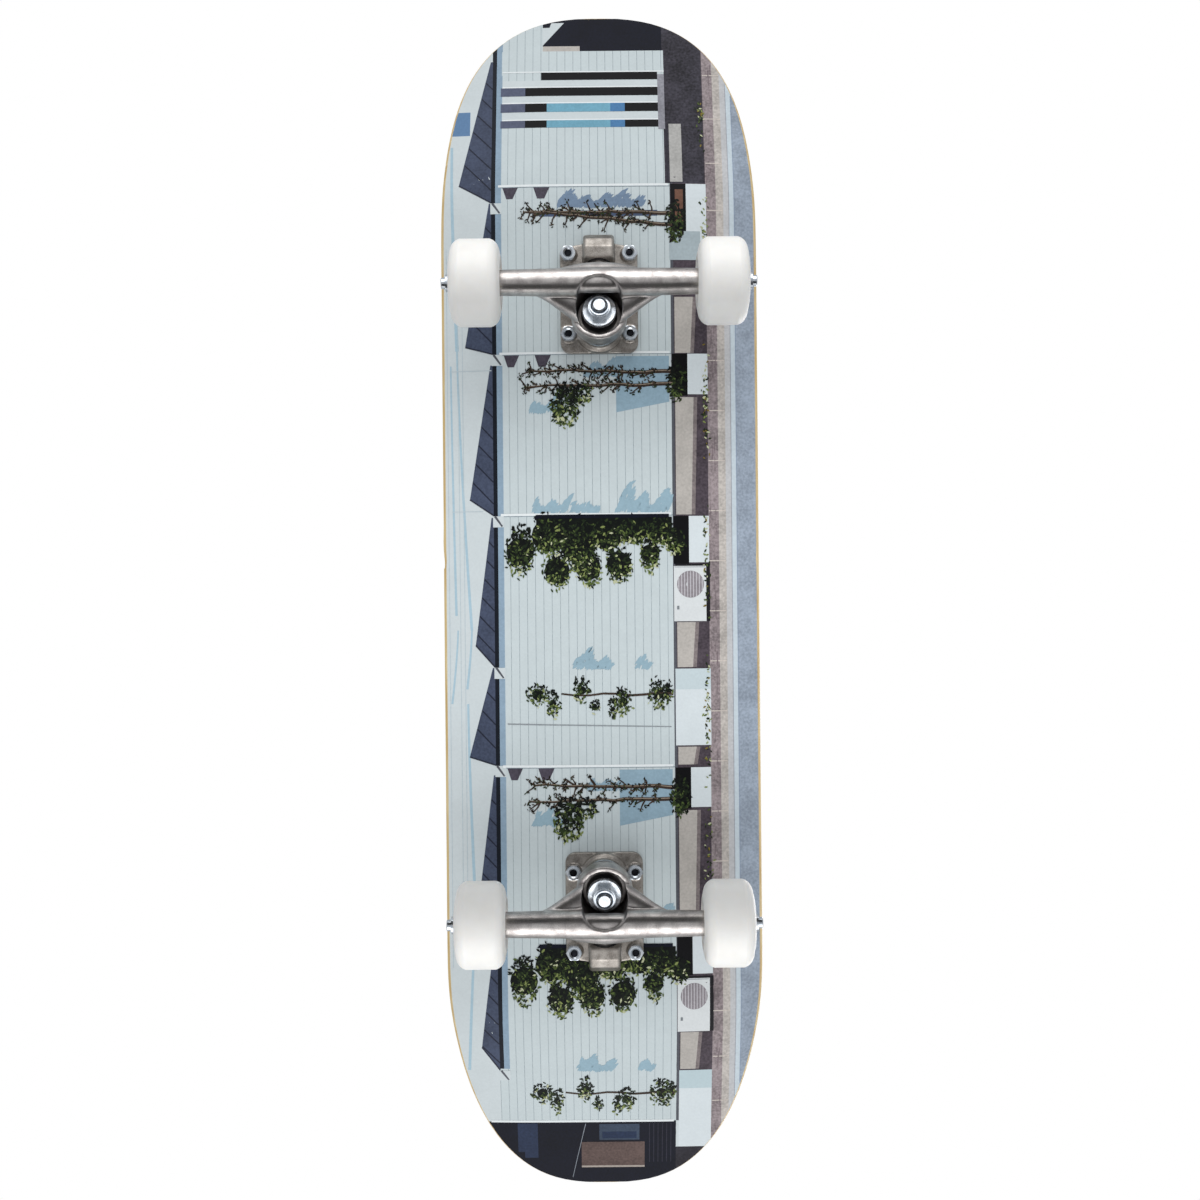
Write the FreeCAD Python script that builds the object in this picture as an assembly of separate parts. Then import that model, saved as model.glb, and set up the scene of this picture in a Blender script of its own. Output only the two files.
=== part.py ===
"""Skateboard: a pressed seven-ply deck with grip tape, two trucks and four wheels.

Board frame: +Z up, wheels standing on Z = 0, +Y towards the nose, X across the deck.
Truck frame: the origin is the centre of the truck's bolt pattern on the deck's underside, z points
away from the deck, y points to the end of the board that the truck is nearer, x runs along the axle.
All sizes are in millimetres and degrees.
"""
import FreeCAD, Part
import math
import os

from BOPTools import SplitAPI

V = FreeCAD.Vector
X_AXIS = V(1, 0, 0)
Y_AXIS = V(0, 1, 0)
Z_AXIS = V(0, 0, 1)

# ---- Deck ----
DECK_WIDTH = 215.9
DECK_LENGTH = 826.0
PLY_NAMES = ("bottom_face_ply", "dyed_core_ply", "lower_crossband_ply", "centre_core_ply",
             "upper_crossband_ply", "upper_core_ply", "top_face_ply")
PLY_THICKNESS = 1.543
GRIP_THICKNESS = 0.9
GRIP_EDGE_GAP = 0.3          # the tape is trimmed this far inside the deck's top edge
GRIP_HOLE_GAP = 0.15         # round the heads of the mounting bolts
KICK_ANGLE = 20.0
KICK_RADIUS = 120.0
KICK_START = 22.0            # from the outer mounting bolts to the start of the bend
CONCAVE_DEPTH = 8.0
CONCAVE_FLAT = 30.0          # half width of the flat middle
TIP_CONCAVE = 0.25           # share of the concave that is left at the tips
NOSE_TAPER = (205.0, 3.65, 2.47)   # length of the taper, its exponent, the tip's bluntness
TAIL_TAPER = (175.0, 2.14, 2.68)
EDGE_INSET = 1.94            # how far the bullnose edge draws in at the two faces
WALL_MARGIN = 0.074          # the wall that trims the plies stands this share of the deck proud of it
OUTLINE_STATIONS = 150       # points round the outline that the edge is drawn through
TOOL_REACH = 2.0             # how far a cutting tool passes the face that it cuts

# ---- Mounting bolts ----
BOLT_ROW = 41.275            # across the board
BOLT_PITCH = 53.975          # along the board
NOSE_LENGTH = 180.0          # from the outer bolts to the tip of the nose
TAIL_LENGTH = 176.1
BOLT_RADIUS = 2.4
BOLT_CLEARANCE = 0.25
BOLT_HEAD_RADIUS = 4.7
BOLT_HEAD_DEPTH = 2.35
HEAD_SEAT_GAP = 0.02         # between a bolt head and the edge of its seat in the wood
BOLT_SHORTFALL = 1.3         # the bolt ends this far inside its nut
BOLT_CHAMFER = 0.5
RECESS_SPAN = 4.6
RECESS_WIDTH = 0.9
RECESS_DEPTH = 1.7
NUT_FLATS = 9.6
NUT_HEIGHT = 5.9
NUT_HEX_SHARE = 0.75         # of a lock nut's height; the collar round its nylon ring is the rest
NUT_COLLAR_SHARE = 0.9       # of a lock nut's flats
NUT_LIP_SHARE = 0.85         # of a lock nut's height, where the nylon ring ends

# ---- Truck: baseplate ----
PLATE_WIDTH = 52.3
PLATE_OUTER_END = 39.6
PLATE_INNER_END = -34.7
PLATE_THICKNESS = 5.0
PLATE_CORNER = 7.0
PAD_HEIGHT = 1.0
PAD_RADIUS = 5.65
BOSS_RADIUS = 13.5
BOSS_TOP = 10.0              # along the kingpin
HOUSING_WIDTH = 21.0
HOUSING_TOP = 23.0
HOUSING_CORNER = 3.0
HOUSING_STEP = 3.0           # height of the housing above the plate at its outer end
HOUSING_BACK = 4.0           # length of the flat top behind the cup
PLATE_BOW = 2.0              # bulge of the plate's inner end
BOSS_FLARE = 2.5             # fillet between the boss and the plate
RIB_THICKNESS = 3.0
RIB_HEIGHT = 7.0

# ---- Truck: steering ----
PIVOT_CENTRE = V(0, 25.0, 11.0)
PIVOT_RADIUS = 6.5
PIVOT_CLEARANCE = 0.3
CUP_WALL = 1.3
CUP_MOUTH = 7.5              # from the pivot's centre to the mouth of its cup
KINGPIN_BASE = V(0, -24.5, 0)
KINGPIN_TILT = 10.0
KINGPIN_RADIUS = 4.76
KINGPIN_TIP = 2.0            # beyond its nut
KINGPIN_CLEARANCE = 0.1
HEAD_FLATS = 14.3
HEAD_START = 1.6
HEAD_HEIGHT = 5.0
HEAD_CLEARANCE = 0.2
WASHER_THICKNESS = 1.5
WASHER_LIP = 1.4
BOARDSIDE_BUSHING_RADIUS = 12.5
BOARDSIDE_BUSHING_HEIGHT = 13.5
SEAT_THICKNESS = 5.0
SEAT_BORE = 9.5
ROADSIDE_BUSHING_RADIUS = 12.0
ROADSIDE_BUSHING_TOP_RADIUS = 10.0
ROADSIDE_BUSHING_HEIGHT = 10.5
BUSHING_BULGE = 0.8          # of the boardside bushing's barrel
BUSHING_BAND = 2.5           # straight part of the roadside bushing beside the hanger
LIP_CLEARANCE = 0.2          # between a bushing and the lip of its washer
LIP_WALL = 1.1
WASHER_ROUND = 0.6
KINGPIN_NUT_FLATS = 14.3
KINGPIN_NUT_HEIGHT = 8.0

# ---- Truck: hanger ----
AXLE_OFFSET = -1.5           # along y from the centre of the bolt pattern
AXLE_DROP = 53.0             # from the deck's underside to the axle
HANGER_WIDTH = 133.0
TUBE_END_RADIUS = 8.3
TUBE_MIDDLE_RADIUS = 9.3
RING_RADIUS = 18.5
RIM_HEIGHT = 9.0             # above the bushing seat, along the kingpin
RING_RECESS = 15.0
LOWER_RECESS = 14.0
LOWER_RECESS_DEPTH = 3.0
AXLE_COVER = 2.8             # cast wall left round the axle beside the kingpin's pocket
# Sections of the web from the ring to the tube: share of the way along the hanger, then the
# inner and outer y and the low and high z, all from the axle.
WING_SECTIONS = ((0.09, -27.0, 6.0, -26.0, -5.0), (0.278, -21.0, 6.0, -23.0, -4.0),
                 (0.52, -10.5, 5.0, -13.5, -2.0), (0.88, -6.5, 4.0, -9.5, -2.0))
CROWN_SPREAD = 0.78          # share of the hanger that the outer bulge covers
CROWN_REACH = 14.5
CROWN_END_REACH = 5.5
CROWN_DROP = 7.5             # of the bulge's middle, towards the board
CROWN_DEPTH = 10.0
CROWN_END_DEPTH = 5.0
CROWN_RISE_LIMIT = 9.5
CAST_CHAMFER = 0.8
TUBE_CHAMFER = 1.6
BOWL_ROUND = 2.5
STEM_FLARE = 2.5             # the pivot's stem is this much wider in radius near the ring
STEM_START = 1.5             # gap between the cup's mouth and the wider stem
GUSSET_WIDTH = 12.0

# ---- Axle and wheels ----
AXLE_RADIUS = 4.0
AXLE_TIP_STEP = 0.3          # the plain tip outside the nut is this much smaller in radius
AXLE_TIP_LENGTH = 3.1
AXLE_TIP_CHAMFER = 0.5
WHEEL_RADIUS = 28.0
WHEEL_WIDTH = 33.0
TREAD_WIDTH = 19.0
LIP_RADIUS = 17.0
BEARING_RADIUS = 11.0
BEARING_WIDTH = 7.0
BALL_RADIUS = 1.984
BALL_COUNT = 7
GROOVE_CLEARANCE = 0.1
INNER_RACE_WALL = 2.05
OUTER_RACE_WALL = 2.0
SHIELD_THICKNESS = 0.4
SPACER_LENGTH = 10.0
SPACER_WALL = 1.0
SPEED_WASHER_THICKNESS = 1.0
SPEED_WASHER_RIM = 2.0
RACE_STEP = 0.6              # width of the step in the outer race that a shield sits in
SHIELD_RECESS = 0.2          # depth of a shield behind the race's face
SHIELD_CLEARANCE = 0.25
CAGE_CLEARANCE = 0.55        # between the cage and the races
CAGE_POCKET_GAP = 0.1        # between the cage and a ball
SHOULDER_DROP = 6.5          # how far the wheel's shoulder falls from the tread, in radius
SHOULDER_BULGE = 2.4
SHOULDER_FACE = 1.0          # from the shoulder to the wheel's side face
WHEEL_MOUTH = 1.2            # the flare that a bearing is pressed in through
AXLE_NUT_FLATS = 12.7
AXLE_NUT_HEIGHT = 6.0

# ---- Worked out from the sizes above ----
DECK_THICKNESS = len(PLY_NAMES) * PLY_THICKNESS
UNDERSIDE_Z = AXLE_DROP + WHEEL_RADIUS
FRONT_TRUCK_Y = DECK_LENGTH / 2 - NOSE_LENGTH - BOLT_PITCH / 2
REAR_TRUCK_Y = TAIL_LENGTH + BOLT_PITCH / 2 - DECK_LENGTH / 2
NOSE_KICK_Y = FRONT_TRUCK_Y + BOLT_PITCH / 2 + KICK_START
TAIL_KICK_Y = REAR_TRUCK_Y - BOLT_PITCH / 2 - KICK_START
BOLT_LENGTH = (DECK_THICKNESS + GRIP_THICKNESS + PLATE_THICKNESS + PAD_HEIGHT + NUT_HEIGHT
               - BOLT_SHORTFALL)
BUSHING_START = BOSS_TOP + WASHER_THICKNESS
SEAT_START = BUSHING_START + BOARDSIDE_BUSHING_HEIGHT
SEAT_END = SEAT_START + SEAT_THICKNESS
ROADSIDE_WASHER_START = SEAT_END + ROADSIDE_BUSHING_HEIGHT
KINGPIN_NUT_START = ROADSIDE_WASHER_START + WASHER_THICKNESS
KINGPIN_END = KINGPIN_NUT_START + KINGPIN_NUT_HEIGHT + KINGPIN_TIP
RING_TOP = SEAT_END + RIM_HEIGHT
RING_BOTTOM = SEAT_START - LOWER_RECESS_DEPTH
HANGER_END = HANGER_WIDTH / 2
INNER_BEARING_X = HANGER_END + SPEED_WASHER_THICKNESS + BEARING_WIDTH / 2
OUTER_BEARING_X = INNER_BEARING_X + BEARING_WIDTH + SPACER_LENGTH
WHEEL_X = (INNER_BEARING_X + OUTER_BEARING_X) / 2
OUTER_WASHER_X = OUTER_BEARING_X + BEARING_WIDTH / 2
AXLE_NUT_X = OUTER_WASHER_X + SPEED_WASHER_THICKNESS
AXLE_TIP_X = AXLE_NUT_X + AXLE_NUT_HEIGHT
BALL_CIRCLE = (AXLE_RADIUS + BEARING_RADIUS) / 2
INNER_LAND = AXLE_RADIUS + INNER_RACE_WALL
OUTER_LAND = BEARING_RADIUS - OUTER_RACE_WALL


# ---- Shared helpers ----
def wire(start, *steps):
    """Closed wire in the XZ plane from (x, z) points; a pair of points is an arc through the first."""
    edges = []
    here = start
    for step in steps + (start,):
        if isinstance(step[0], tuple):
            middle, end = step
            edges.append(Part.Arc(V(here[0], 0, here[1]), V(middle[0], 0, middle[1]),
                                  V(end[0], 0, end[1])).toShape())
        else:
            end = step
            if end != here:
                edges.append(Part.makeLine(V(here[0], 0, here[1]), V(end[0], 0, end[1])))
        here = end
    return Part.Wire(edges)


def turned(start, *steps):
    """Solid of revolution about Z from a (radius, height) outline."""
    return Part.Face(wire(start, *steps)).revolve(V(), Z_AXIS, 360)


def ring(inner, outer, low, high):
    """Plain ring about Z."""
    return turned((inner, low), (outer, low), (outer, high), (inner, high))


def hexagon(flats, low, high):
    """Hexagonal prism about Z with two flats facing +Y and -Y."""
    corner = flats / math.sqrt(3)
    points = [V(corner * math.cos(math.radians(60 * i)), corner * math.sin(math.radians(60 * i)), low)
              for i in range(7)]
    return Part.Face(Part.makePolygon(points)).extrude(V(0, 0, high - low))


def placed(shape, rotation=None, offset=V()):
    """Copy of a shape, turned about the origin and then moved."""
    moved = shape.copy()
    moved.Placement = FreeCAD.Placement(offset, rotation or FreeCAD.Rotation()) * shape.Placement
    return moved


def on_kingpin(shape):
    """Put a shape made about +Z onto the kingpin's axis."""
    return placed(shape, FreeCAD.Rotation(X_AXIS, -KINGPIN_TILT), KINGPIN_BASE)


def kingpin_point(height):
    """Point on the kingpin's axis at a height along it."""
    tilt = math.radians(KINGPIN_TILT)
    return KINGPIN_BASE + V(0, math.sin(tilt), math.cos(tilt)) * height


def steering_axis():
    """Unit vector from the pivot to the middle of the hanger's bushing seat."""
    return (kingpin_point((SEAT_START + SEAT_END) / 2) - PIVOT_CENTRE).normalize()


def on_steering(shape):
    """Put a shape made about +Z onto the steering axis, with its origin at the pivot's centre."""
    return placed(shape, FreeCAD.Rotation(Z_AXIS, steering_axis()), PIVOT_CENTRE)


def on_axle(shape, x):
    """Put a shape made about +Z onto the axle at x, with its +Z pointing outwards."""
    turn = FreeCAD.Rotation(Y_AXIS, 90 if x >= 0 else -90)
    return placed(shape, turn, V(x, AXLE_OFFSET, AXLE_DROP))


def bolt_places():
    """The four bolt positions of a truck, in the truck frame."""
    return [V(i * BOLT_ROW / 2, j * BOLT_PITCH / 2, 0) for i in (-1, 1) for j in (-1, 1)]


def lock_nut(flats, height, bore):
    """Chamfered hexagonal nut with a collar above it, and the nylon ring inside the collar."""
    corner = flats / math.sqrt(3)
    chamfer = corner - flats / 2
    hex_top = NUT_HEX_SHARE * height
    collar = NUT_COLLAR_SHARE * flats / 2
    lip = NUT_LIP_SHARE * height
    envelope = turned((0, 0), (flats / 2, 0), (corner, chamfer / 2), (corner, hex_top - chamfer / 2),
                      (flats / 2, hex_top), (collar, hex_top), (collar, height), (0, height))
    insert = ring(bore, (bore + collar) / 2, hex_top, lip)
    body = hexagon(flats, 0, height).common(envelope)
    bore_cut = Part.makeCylinder(bore, height)
    mouth = turned((0, height), ((bore + collar) / 2, height), (bore, lip), (0, lip))
    return body.cut(bore_cut).cut(insert).cut(mouth), insert


# ---- Deck ----
def kick(y):
    """Underside centre line seen from the side: height above the flat and slope, at a plan y."""
    start = NOSE_KICK_Y if y > 0 else -TAIL_KICK_Y
    bend = math.radians(KICK_ANGLE)
    past = abs(y) - start
    bend_reach = KICK_RADIUS * math.sin(bend)
    if past <= 0:
        return 0.0, 0.0
    if past < bend_reach:
        slope = math.asin(past / KICK_RADIUS)
        return KICK_RADIUS * (1 - math.cos(slope)), math.copysign(slope, y)
    rise = KICK_RADIUS * (1 - math.cos(bend)) + (past - bend_reach) * math.tan(bend)
    return rise, math.copysign(bend, y)


def edge_inset(height):
    """How far the rounded edge draws in at a height above the underside."""
    middle = DECK_THICKNESS / 2
    radius = (middle ** 2 + EDGE_INSET ** 2) / (2 * EDGE_INSET)
    return radius - math.sqrt(radius ** 2 - (height - middle) ** 2)


def tip_reach():
    """Plan y of the underside's tip that gives the whole deck its length."""
    bend = math.radians(KICK_ANGLE)
    heights = [DECK_THICKNESS * i / 40 for i in range(41)]
    return DECK_LENGTH / 2 + min(edge_inset(h) * math.cos(bend) + h * math.sin(bend) for h in heights)


def concave(x, y):
    """Rise of the deck's sides above its middle."""
    start = NOSE_KICK_Y if y > 0 else -TAIL_KICK_Y
    along = min(max((abs(y) - start) / (tip_reach() - start), 0.0), 1.0)
    fade = 1 - (1 - TIP_CONCAVE) * along * along * (3 - 2 * along)
    across = max(abs(x) - CONCAVE_FLAT, 0.0) / (DECK_WIDTH / 2 - CONCAVE_FLAT)
    return CONCAVE_DEPTH * fade * across ** 2


def deck_point(x, y, height):
    """Point of the pressed deck: plan (x, y) on the underside, then a height square to it."""
    rise, slope = kick(y)
    lift = concave(x, y) + height
    return V(x, y - lift * math.sin(slope), UNDERSIDE_Z + rise + lift * math.cos(slope))


def pressed_surface(height):
    """Deck surface at a height above the underside, a little larger than the deck."""
    columns = 25
    rows = 121
    reach = tip_reach() + 8
    side = DECK_WIDTH / 2 + 8
    grid = [[deck_point(side * (2 * i / (columns - 1) - 1), reach * (2 * j / (rows - 1) - 1), height)
             for j in range(rows)] for i in range(columns)]
    surface = Part.BSplineSurface()
    surface.interpolate(grid)
    return surface


def tip_outline(taper, end):
    """Right half of a tip's outline, from the start of its taper to the tip: plan (x, y) points."""
    length, exponent, bluntness = taper
    start = DECK_LENGTH / 2 - length
    span = tip_reach() - start
    steps = 24
    angles = [math.pi / 2 * i / steps for i in range(steps + 1)]
    return [(DECK_WIDTH / 2 * max(math.cos(angle), 0.0) ** (2 / bluntness),
             end * (start + span * math.sin(angle) ** (2 / exponent))) for angle in angles]


def outline_stations(count):
    """Evenly spaced plan points round the outline, each with its outward normal."""
    nose = tip_outline(NOSE_TAPER, 1)
    tail = tip_outline(TAIL_TAPER, -1)
    nose_start = nose[0][1]
    tail_start = tail[0][1]
    steps = 12
    side = [(DECK_WIDTH / 2, tail_start + (nose_start - tail_start) * i / steps) for i in range(1, steps)]
    right = tail[:0:-1] + tail[:1] + side + nose
    left = [(-x, y) for x, y in reversed(right[1:-1])]
    loop = right + left
    middle = len(tail) + steps // 2
    curve = Part.BSplineCurve()
    curve.interpolate(Points=[V(x, y, 0) for x, y in loop[middle:] + loop[:middle]], PeriodicFlag=True)
    length = curve.length()
    stations = []
    for i in range(count):
        parameter = curve.parameterAtDistance(length * i / count, curve.FirstParameter)
        tangent = curve.tangent(parameter)[0]
        stations.append((curve.value(parameter), V(tangent.y, -tangent.x, 0)))
    return stations + stations[:1]


def edge_wall(stations, levels):
    """Wall square to the deck round its outline, from (height, inset) levels."""
    rows = []
    for height, inset in levels:
        inner = [point - normal * inset for point, normal in stations]
        rows.append([deck_point(p.x, p.y, height) for p in inner])
    surface = Part.BSplineSurface()
    surface.interpolate(rows)
    return surface.toShape()


def layer_block(low_surface, high_surface):
    """Closed block between two pressed surfaces."""
    low = low_surface.toShape()
    high = high_surface.toShape()
    sides = [Part.makeRuledSurface(a, b) for a, b in zip(low.Edges, high.Edges)]
    shell = Part.makeShell([low, high] + sides)
    shell.sewShape()
    block = Part.Solid(shell)
    block.fix(1e-4, 1e-4, 1e-4)
    return block


def trimmed(block, wall):
    """The part of a block that is inside the deck's wall."""
    pieces = SplitAPI.slice(block, [wall], "Split")
    return max(pieces.Solids, key=lambda piece: piece.Volume)


def at_every_bolt(tool):
    """Copies of a drilling tool at the eight bolts of the deck."""
    return Part.makeCompound([placed(tool, offset=place + V(0, truck_y, 0))
                              for truck_y in (FRONT_TRUCK_Y, REAR_TRUCK_Y) for place in bolt_places()])


def drills(radius):
    """Cylinders that make plain holes through the whole deck and its grip."""
    depth = DECK_THICKNESS + GRIP_THICKNESS + 2 * TOOL_REACH
    return at_every_bolt(Part.makeCylinder(radius, depth, V(0, 0, UNDERSIDE_Z - TOOL_REACH)))


def counterbores():
    """Wider holes in the top ply, as wide as the bolt heads are where they pass its face."""
    sunk = BOLT_HEAD_DEPTH - GRIP_THICKNESS
    radius = BOLT_RADIUS + (BOLT_HEAD_RADIUS - BOLT_RADIUS) * sunk / BOLT_HEAD_DEPTH + HEAD_SEAT_GAP
    start = UNDERSIDE_Z + DECK_THICKNESS - sunk
    return at_every_bolt(Part.makeCylinder(radius, sunk + TOOL_REACH, V(0, 0, start)))


def deck_nodes():
    """The seven plies, each cut from the pressed stack, and the grip tape on top of them."""
    stations = outline_stations(OUTLINE_STATIONS)
    margin = DECK_THICKNESS * WALL_MARGIN
    spread = [-margin + (DECK_THICKNESS + 2 * margin) * i / 8 for i in range(9)]
    wall = edge_wall(stations, [(height, edge_inset(height)) for height in spread])
    grip_inset = EDGE_INSET + GRIP_EDGE_GAP
    grip_spread = [DECK_THICKNESS - margin + (GRIP_THICKNESS + 2 * margin) * i / 4 for i in range(5)]
    grip_wall = edge_wall(stations, [(height, grip_inset) for height in grip_spread])
    holes = drills(BOLT_RADIUS + BOLT_CLEARANCE)
    surfaces = [pressed_surface(PLY_THICKNESS * i) for i in range(len(PLY_NAMES) + 1)]
    nodes = {}
    for name, low, high in zip(PLY_NAMES, surfaces, surfaces[1:]):
        nodes[name] = trimmed(layer_block(low, high), wall).cut(holes)
    nodes[PLY_NAMES[-1]] = nodes[PLY_NAMES[-1]].cut(counterbores())
    grip_top = pressed_surface(DECK_THICKNESS + GRIP_THICKNESS)
    grip = trimmed(layer_block(surfaces[-1], grip_top), grip_wall)
    nodes["grip_tape"] = grip.cut(drills(BOLT_HEAD_RADIUS + GRIP_HOLE_GAP))
    return nodes


# ---- Mounting hardware ----
def mounting_bolts():
    """Four countersunk bolts with a cross recess, in the truck frame."""
    top = -(DECK_THICKNESS + GRIP_THICKNESS)
    bolt = turned((0, top), (BOLT_HEAD_RADIUS, top), (BOLT_RADIUS, top + BOLT_HEAD_DEPTH),
                  (BOLT_RADIUS, top + BOLT_LENGTH - BOLT_CHAMFER),
                  (BOLT_RADIUS - BOLT_CHAMFER, top + BOLT_LENGTH),
                  (0, top + BOLT_LENGTH))
    slot = Part.makeBox(RECESS_SPAN, RECESS_WIDTH, RECESS_DEPTH,
                        V(-RECESS_SPAN / 2, -RECESS_WIDTH / 2, top))
    cross = slot.fuse(placed(slot, FreeCAD.Rotation(Z_AXIS, 90)))
    bolt = bolt.cut(cross)
    return Part.makeCompound([placed(bolt, offset=place) for place in bolt_places()])


def mounting_nuts():
    """Four lock nuts on the baseplate's pads, and their nylon rings."""
    body, insert = lock_nut(NUT_FLATS, NUT_HEIGHT, BOLT_RADIUS)
    seat = V(0, 0, PLATE_THICKNESS + PAD_HEIGHT)
    bodies = [placed(body, offset=place + seat) for place in bolt_places()]
    inserts = [placed(insert, offset=place + seat) for place in bolt_places()]
    return Part.makeCompound(bodies), inserts


# ---- Truck: baseplate, cup and kingpin ----
def plate_outline():
    """Flat plate with rounded corners and a bowed inner end."""
    half = PLATE_WIDTH / 2
    corner = PLATE_CORNER
    diagonal = corner * (1 - math.sqrt(0.5))
    inner = PLATE_INNER_END + PLATE_BOW
    outer = PLATE_OUTER_END
    face = Part.Face(wire(
        (half, inner + corner), (half, outer - corner),
        ((half - diagonal, outer - diagonal), (half - corner, outer)),
        (corner - half, outer),
        ((diagonal - half, outer - diagonal), (-half, outer - corner)),
        (-half, inner + corner),
        ((diagonal - half, inner + diagonal), (corner - half, inner)),
        ((0, PLATE_INNER_END), (half - corner, inner)),
        ((half - diagonal, inner + diagonal), (half, inner + corner))))
    return placed(face, FreeCAD.Rotation(X_AXIS, -90)).mirror(V(), Y_AXIS)


def pivot_housing():
    """Block that holds the pivot cup, with its mouth square to the steering axis."""
    axis = steering_axis()
    across = V(0, -axis.z, axis.y) if axis.y > 0 else V(0, axis.z, -axis.y)
    mouth = PIVOT_CENTRE + axis * CUP_MOUTH
    low = mouth - across * ((mouth.z - PLATE_THICKNESS / 2) / across.z)
    high = mouth + across * ((HOUSING_TOP - mouth.z) / across.z)
    back = PIVOT_CENTRE.y + PIVOT_RADIUS + CUP_WALL
    outer = PLATE_OUTER_END
    points = [V(0, low.y, low.z), V(0, high.y, high.z), V(0, back - HOUSING_BACK, HOUSING_TOP),
              V(0, back + HOUSING_BACK / 2, HOUSING_TOP - HOUSING_BACK),
              V(0, outer, PLATE_THICKNESS + HOUSING_STEP), V(0, outer, low.z)]
    block = Part.Face(Part.makePolygon(points + points[:1])).extrude(V(HOUSING_WIDTH, 0, 0))
    block.translate(V(-HOUSING_WIDTH / 2, 0, 0))
    long_edges = [edge for edge in block.Edges
                  if edge.Vertexes[0].Point.z > PLATE_THICKNESS and edge.Vertexes[1].Point.z > PLATE_THICKNESS
                  and abs(edge.Vertexes[0].X - edge.Vertexes[1].X) < 1e-6
                  and abs(edge.Vertexes[0].Y - edge.Vertexes[1].Y) > 2.5]
    return block.makeFillet(min(HOUSING_CORNER, HOUSING_WIDTH / 8), long_edges)


def pivot_cup_blank(radius, mouth):
    """Round-ended plug about Z, from below the pivot's centre out to a mouth."""
    slant = radius * math.sqrt(0.5)
    return turned((0, -radius), ((slant, -slant), (radius, 0)), (radius, mouth), (0, mouth))


def baseplate_ribs():
    """Two ribs from the kingpin boss to the pivot housing."""
    start = KINGPIN_BASE.y + BOSS_RADIUS - RIB_THICKNESS
    end = PIVOT_CENTRE.y
    slope_start = end - RIB_THICKNESS * (BOSS_TOP - RIB_HEIGHT)
    points = [V(0, start, PLATE_THICKNESS / 2), V(0, start, RIB_HEIGHT), V(0, slope_start, RIB_HEIGHT),
              V(0, end, BOSS_TOP), V(0, end, PLATE_THICKNESS / 2)]
    rib = Part.Face(Part.makePolygon(points + points[:1])).extrude(V(RIB_THICKNESS, 0, 0))
    side = HOUSING_WIDTH / 2
    return [placed(rib, offset=V(x, 0, 0)) for x in (-side, side - RIB_THICKNESS)]


def baseplate():
    """Cast baseplate: plate, bolt pads, kingpin boss, pivot housing and two ribs between them."""
    outline = plate_outline()
    plate = outline.extrude(V(0, 0, PLATE_THICKNESS))
    pads = [Part.makeCylinder(PAD_RADIUS, PLATE_THICKNESS + PAD_HEIGHT, place) for place in bolt_places()]
    flare = BOSS_RADIUS + BOSS_FLARE
    boss = on_kingpin(turned((0, -BOSS_TOP), (flare, -BOSS_TOP), (flare, PLATE_THICKNESS),
                             (BOSS_RADIUS, PLATE_THICKNESS + BOSS_FLARE), (BOSS_RADIUS, BOSS_TOP),
                             (0, BOSS_TOP)))
    boss = boss.common(outline.extrude(V(0, 0, 2 * BOSS_TOP)))
    body = plate.multiFuse(pads + [boss, pivot_housing()] + baseplate_ribs())
    cup_room = on_steering(pivot_cup_blank(PIVOT_RADIUS + PIVOT_CLEARANCE + CUP_WALL, PLATE_WIDTH))
    head_room = on_kingpin(hexagon(HEAD_FLATS + 2 * HEAD_CLEARANCE, -HEAD_HEIGHT, HEAD_START + HEAD_HEIGHT))
    shank = on_kingpin(Part.makeCylinder(KINGPIN_RADIUS + KINGPIN_CLEARANCE, BOSS_TOP + TOOL_REACH))
    hole = Part.makeCylinder(BOLT_RADIUS + BOLT_CLEARANCE, PLATE_THICKNESS + PAD_HEIGHT + 2 * TOOL_REACH,
                             V(0, 0, -TOOL_REACH))
    holes = [placed(hole, offset=place) for place in bolt_places()]
    return body.cut([cup_room, head_room, shank] + holes).removeSplitter()


def pivot_cup():
    """Moulded cup that the hanger's pivot turns in, level with the housing's mouth."""
    bore = PIVOT_RADIUS + PIVOT_CLEARANCE
    return on_steering(pivot_cup_blank(bore + CUP_WALL, CUP_MOUTH).cut(pivot_cup_blank(bore, CUP_MOUTH + 1)))


def kingpin():
    """Kingpin with its hexagonal head in the baseplate and a chamfered end."""
    shank = turned((0, HEAD_START), (KINGPIN_RADIUS, HEAD_START), (KINGPIN_RADIUS, KINGPIN_END - 1),
                   (KINGPIN_RADIUS - 1, KINGPIN_END), (0, KINGPIN_END))
    return on_kingpin(shank.fuse(hexagon(HEAD_FLATS, HEAD_START, HEAD_START + HEAD_HEIGHT)))


def boardside_bushing():
    """Barrel bushing between the baseplate and the hanger's seat."""
    low = BUSHING_START
    high = SEAT_START
    side = BOARDSIDE_BUSHING_RADIUS
    middle = (low + high) / 2
    end = side - BUSHING_BULGE
    return on_kingpin(turned((KINGPIN_RADIUS, low), (end, low), ((side, middle), (end, high)),
                             (KINGPIN_RADIUS, high)))


def roadside_bushing():
    """Cone bushing between the hanger's seat and the kingpin's nut."""
    low = SEAT_END
    high = ROADSIDE_WASHER_START
    wide = ROADSIDE_BUSHING_RADIUS
    narrow = ROADSIDE_BUSHING_TOP_RADIUS
    neck = high - WASHER_LIP - LIP_CLEARANCE
    return on_kingpin(turned((KINGPIN_RADIUS, low), (wide, low), (wide, low + BUSHING_BAND),
                             (narrow, neck), (narrow, high), (KINGPIN_RADIUS, high)))


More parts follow.
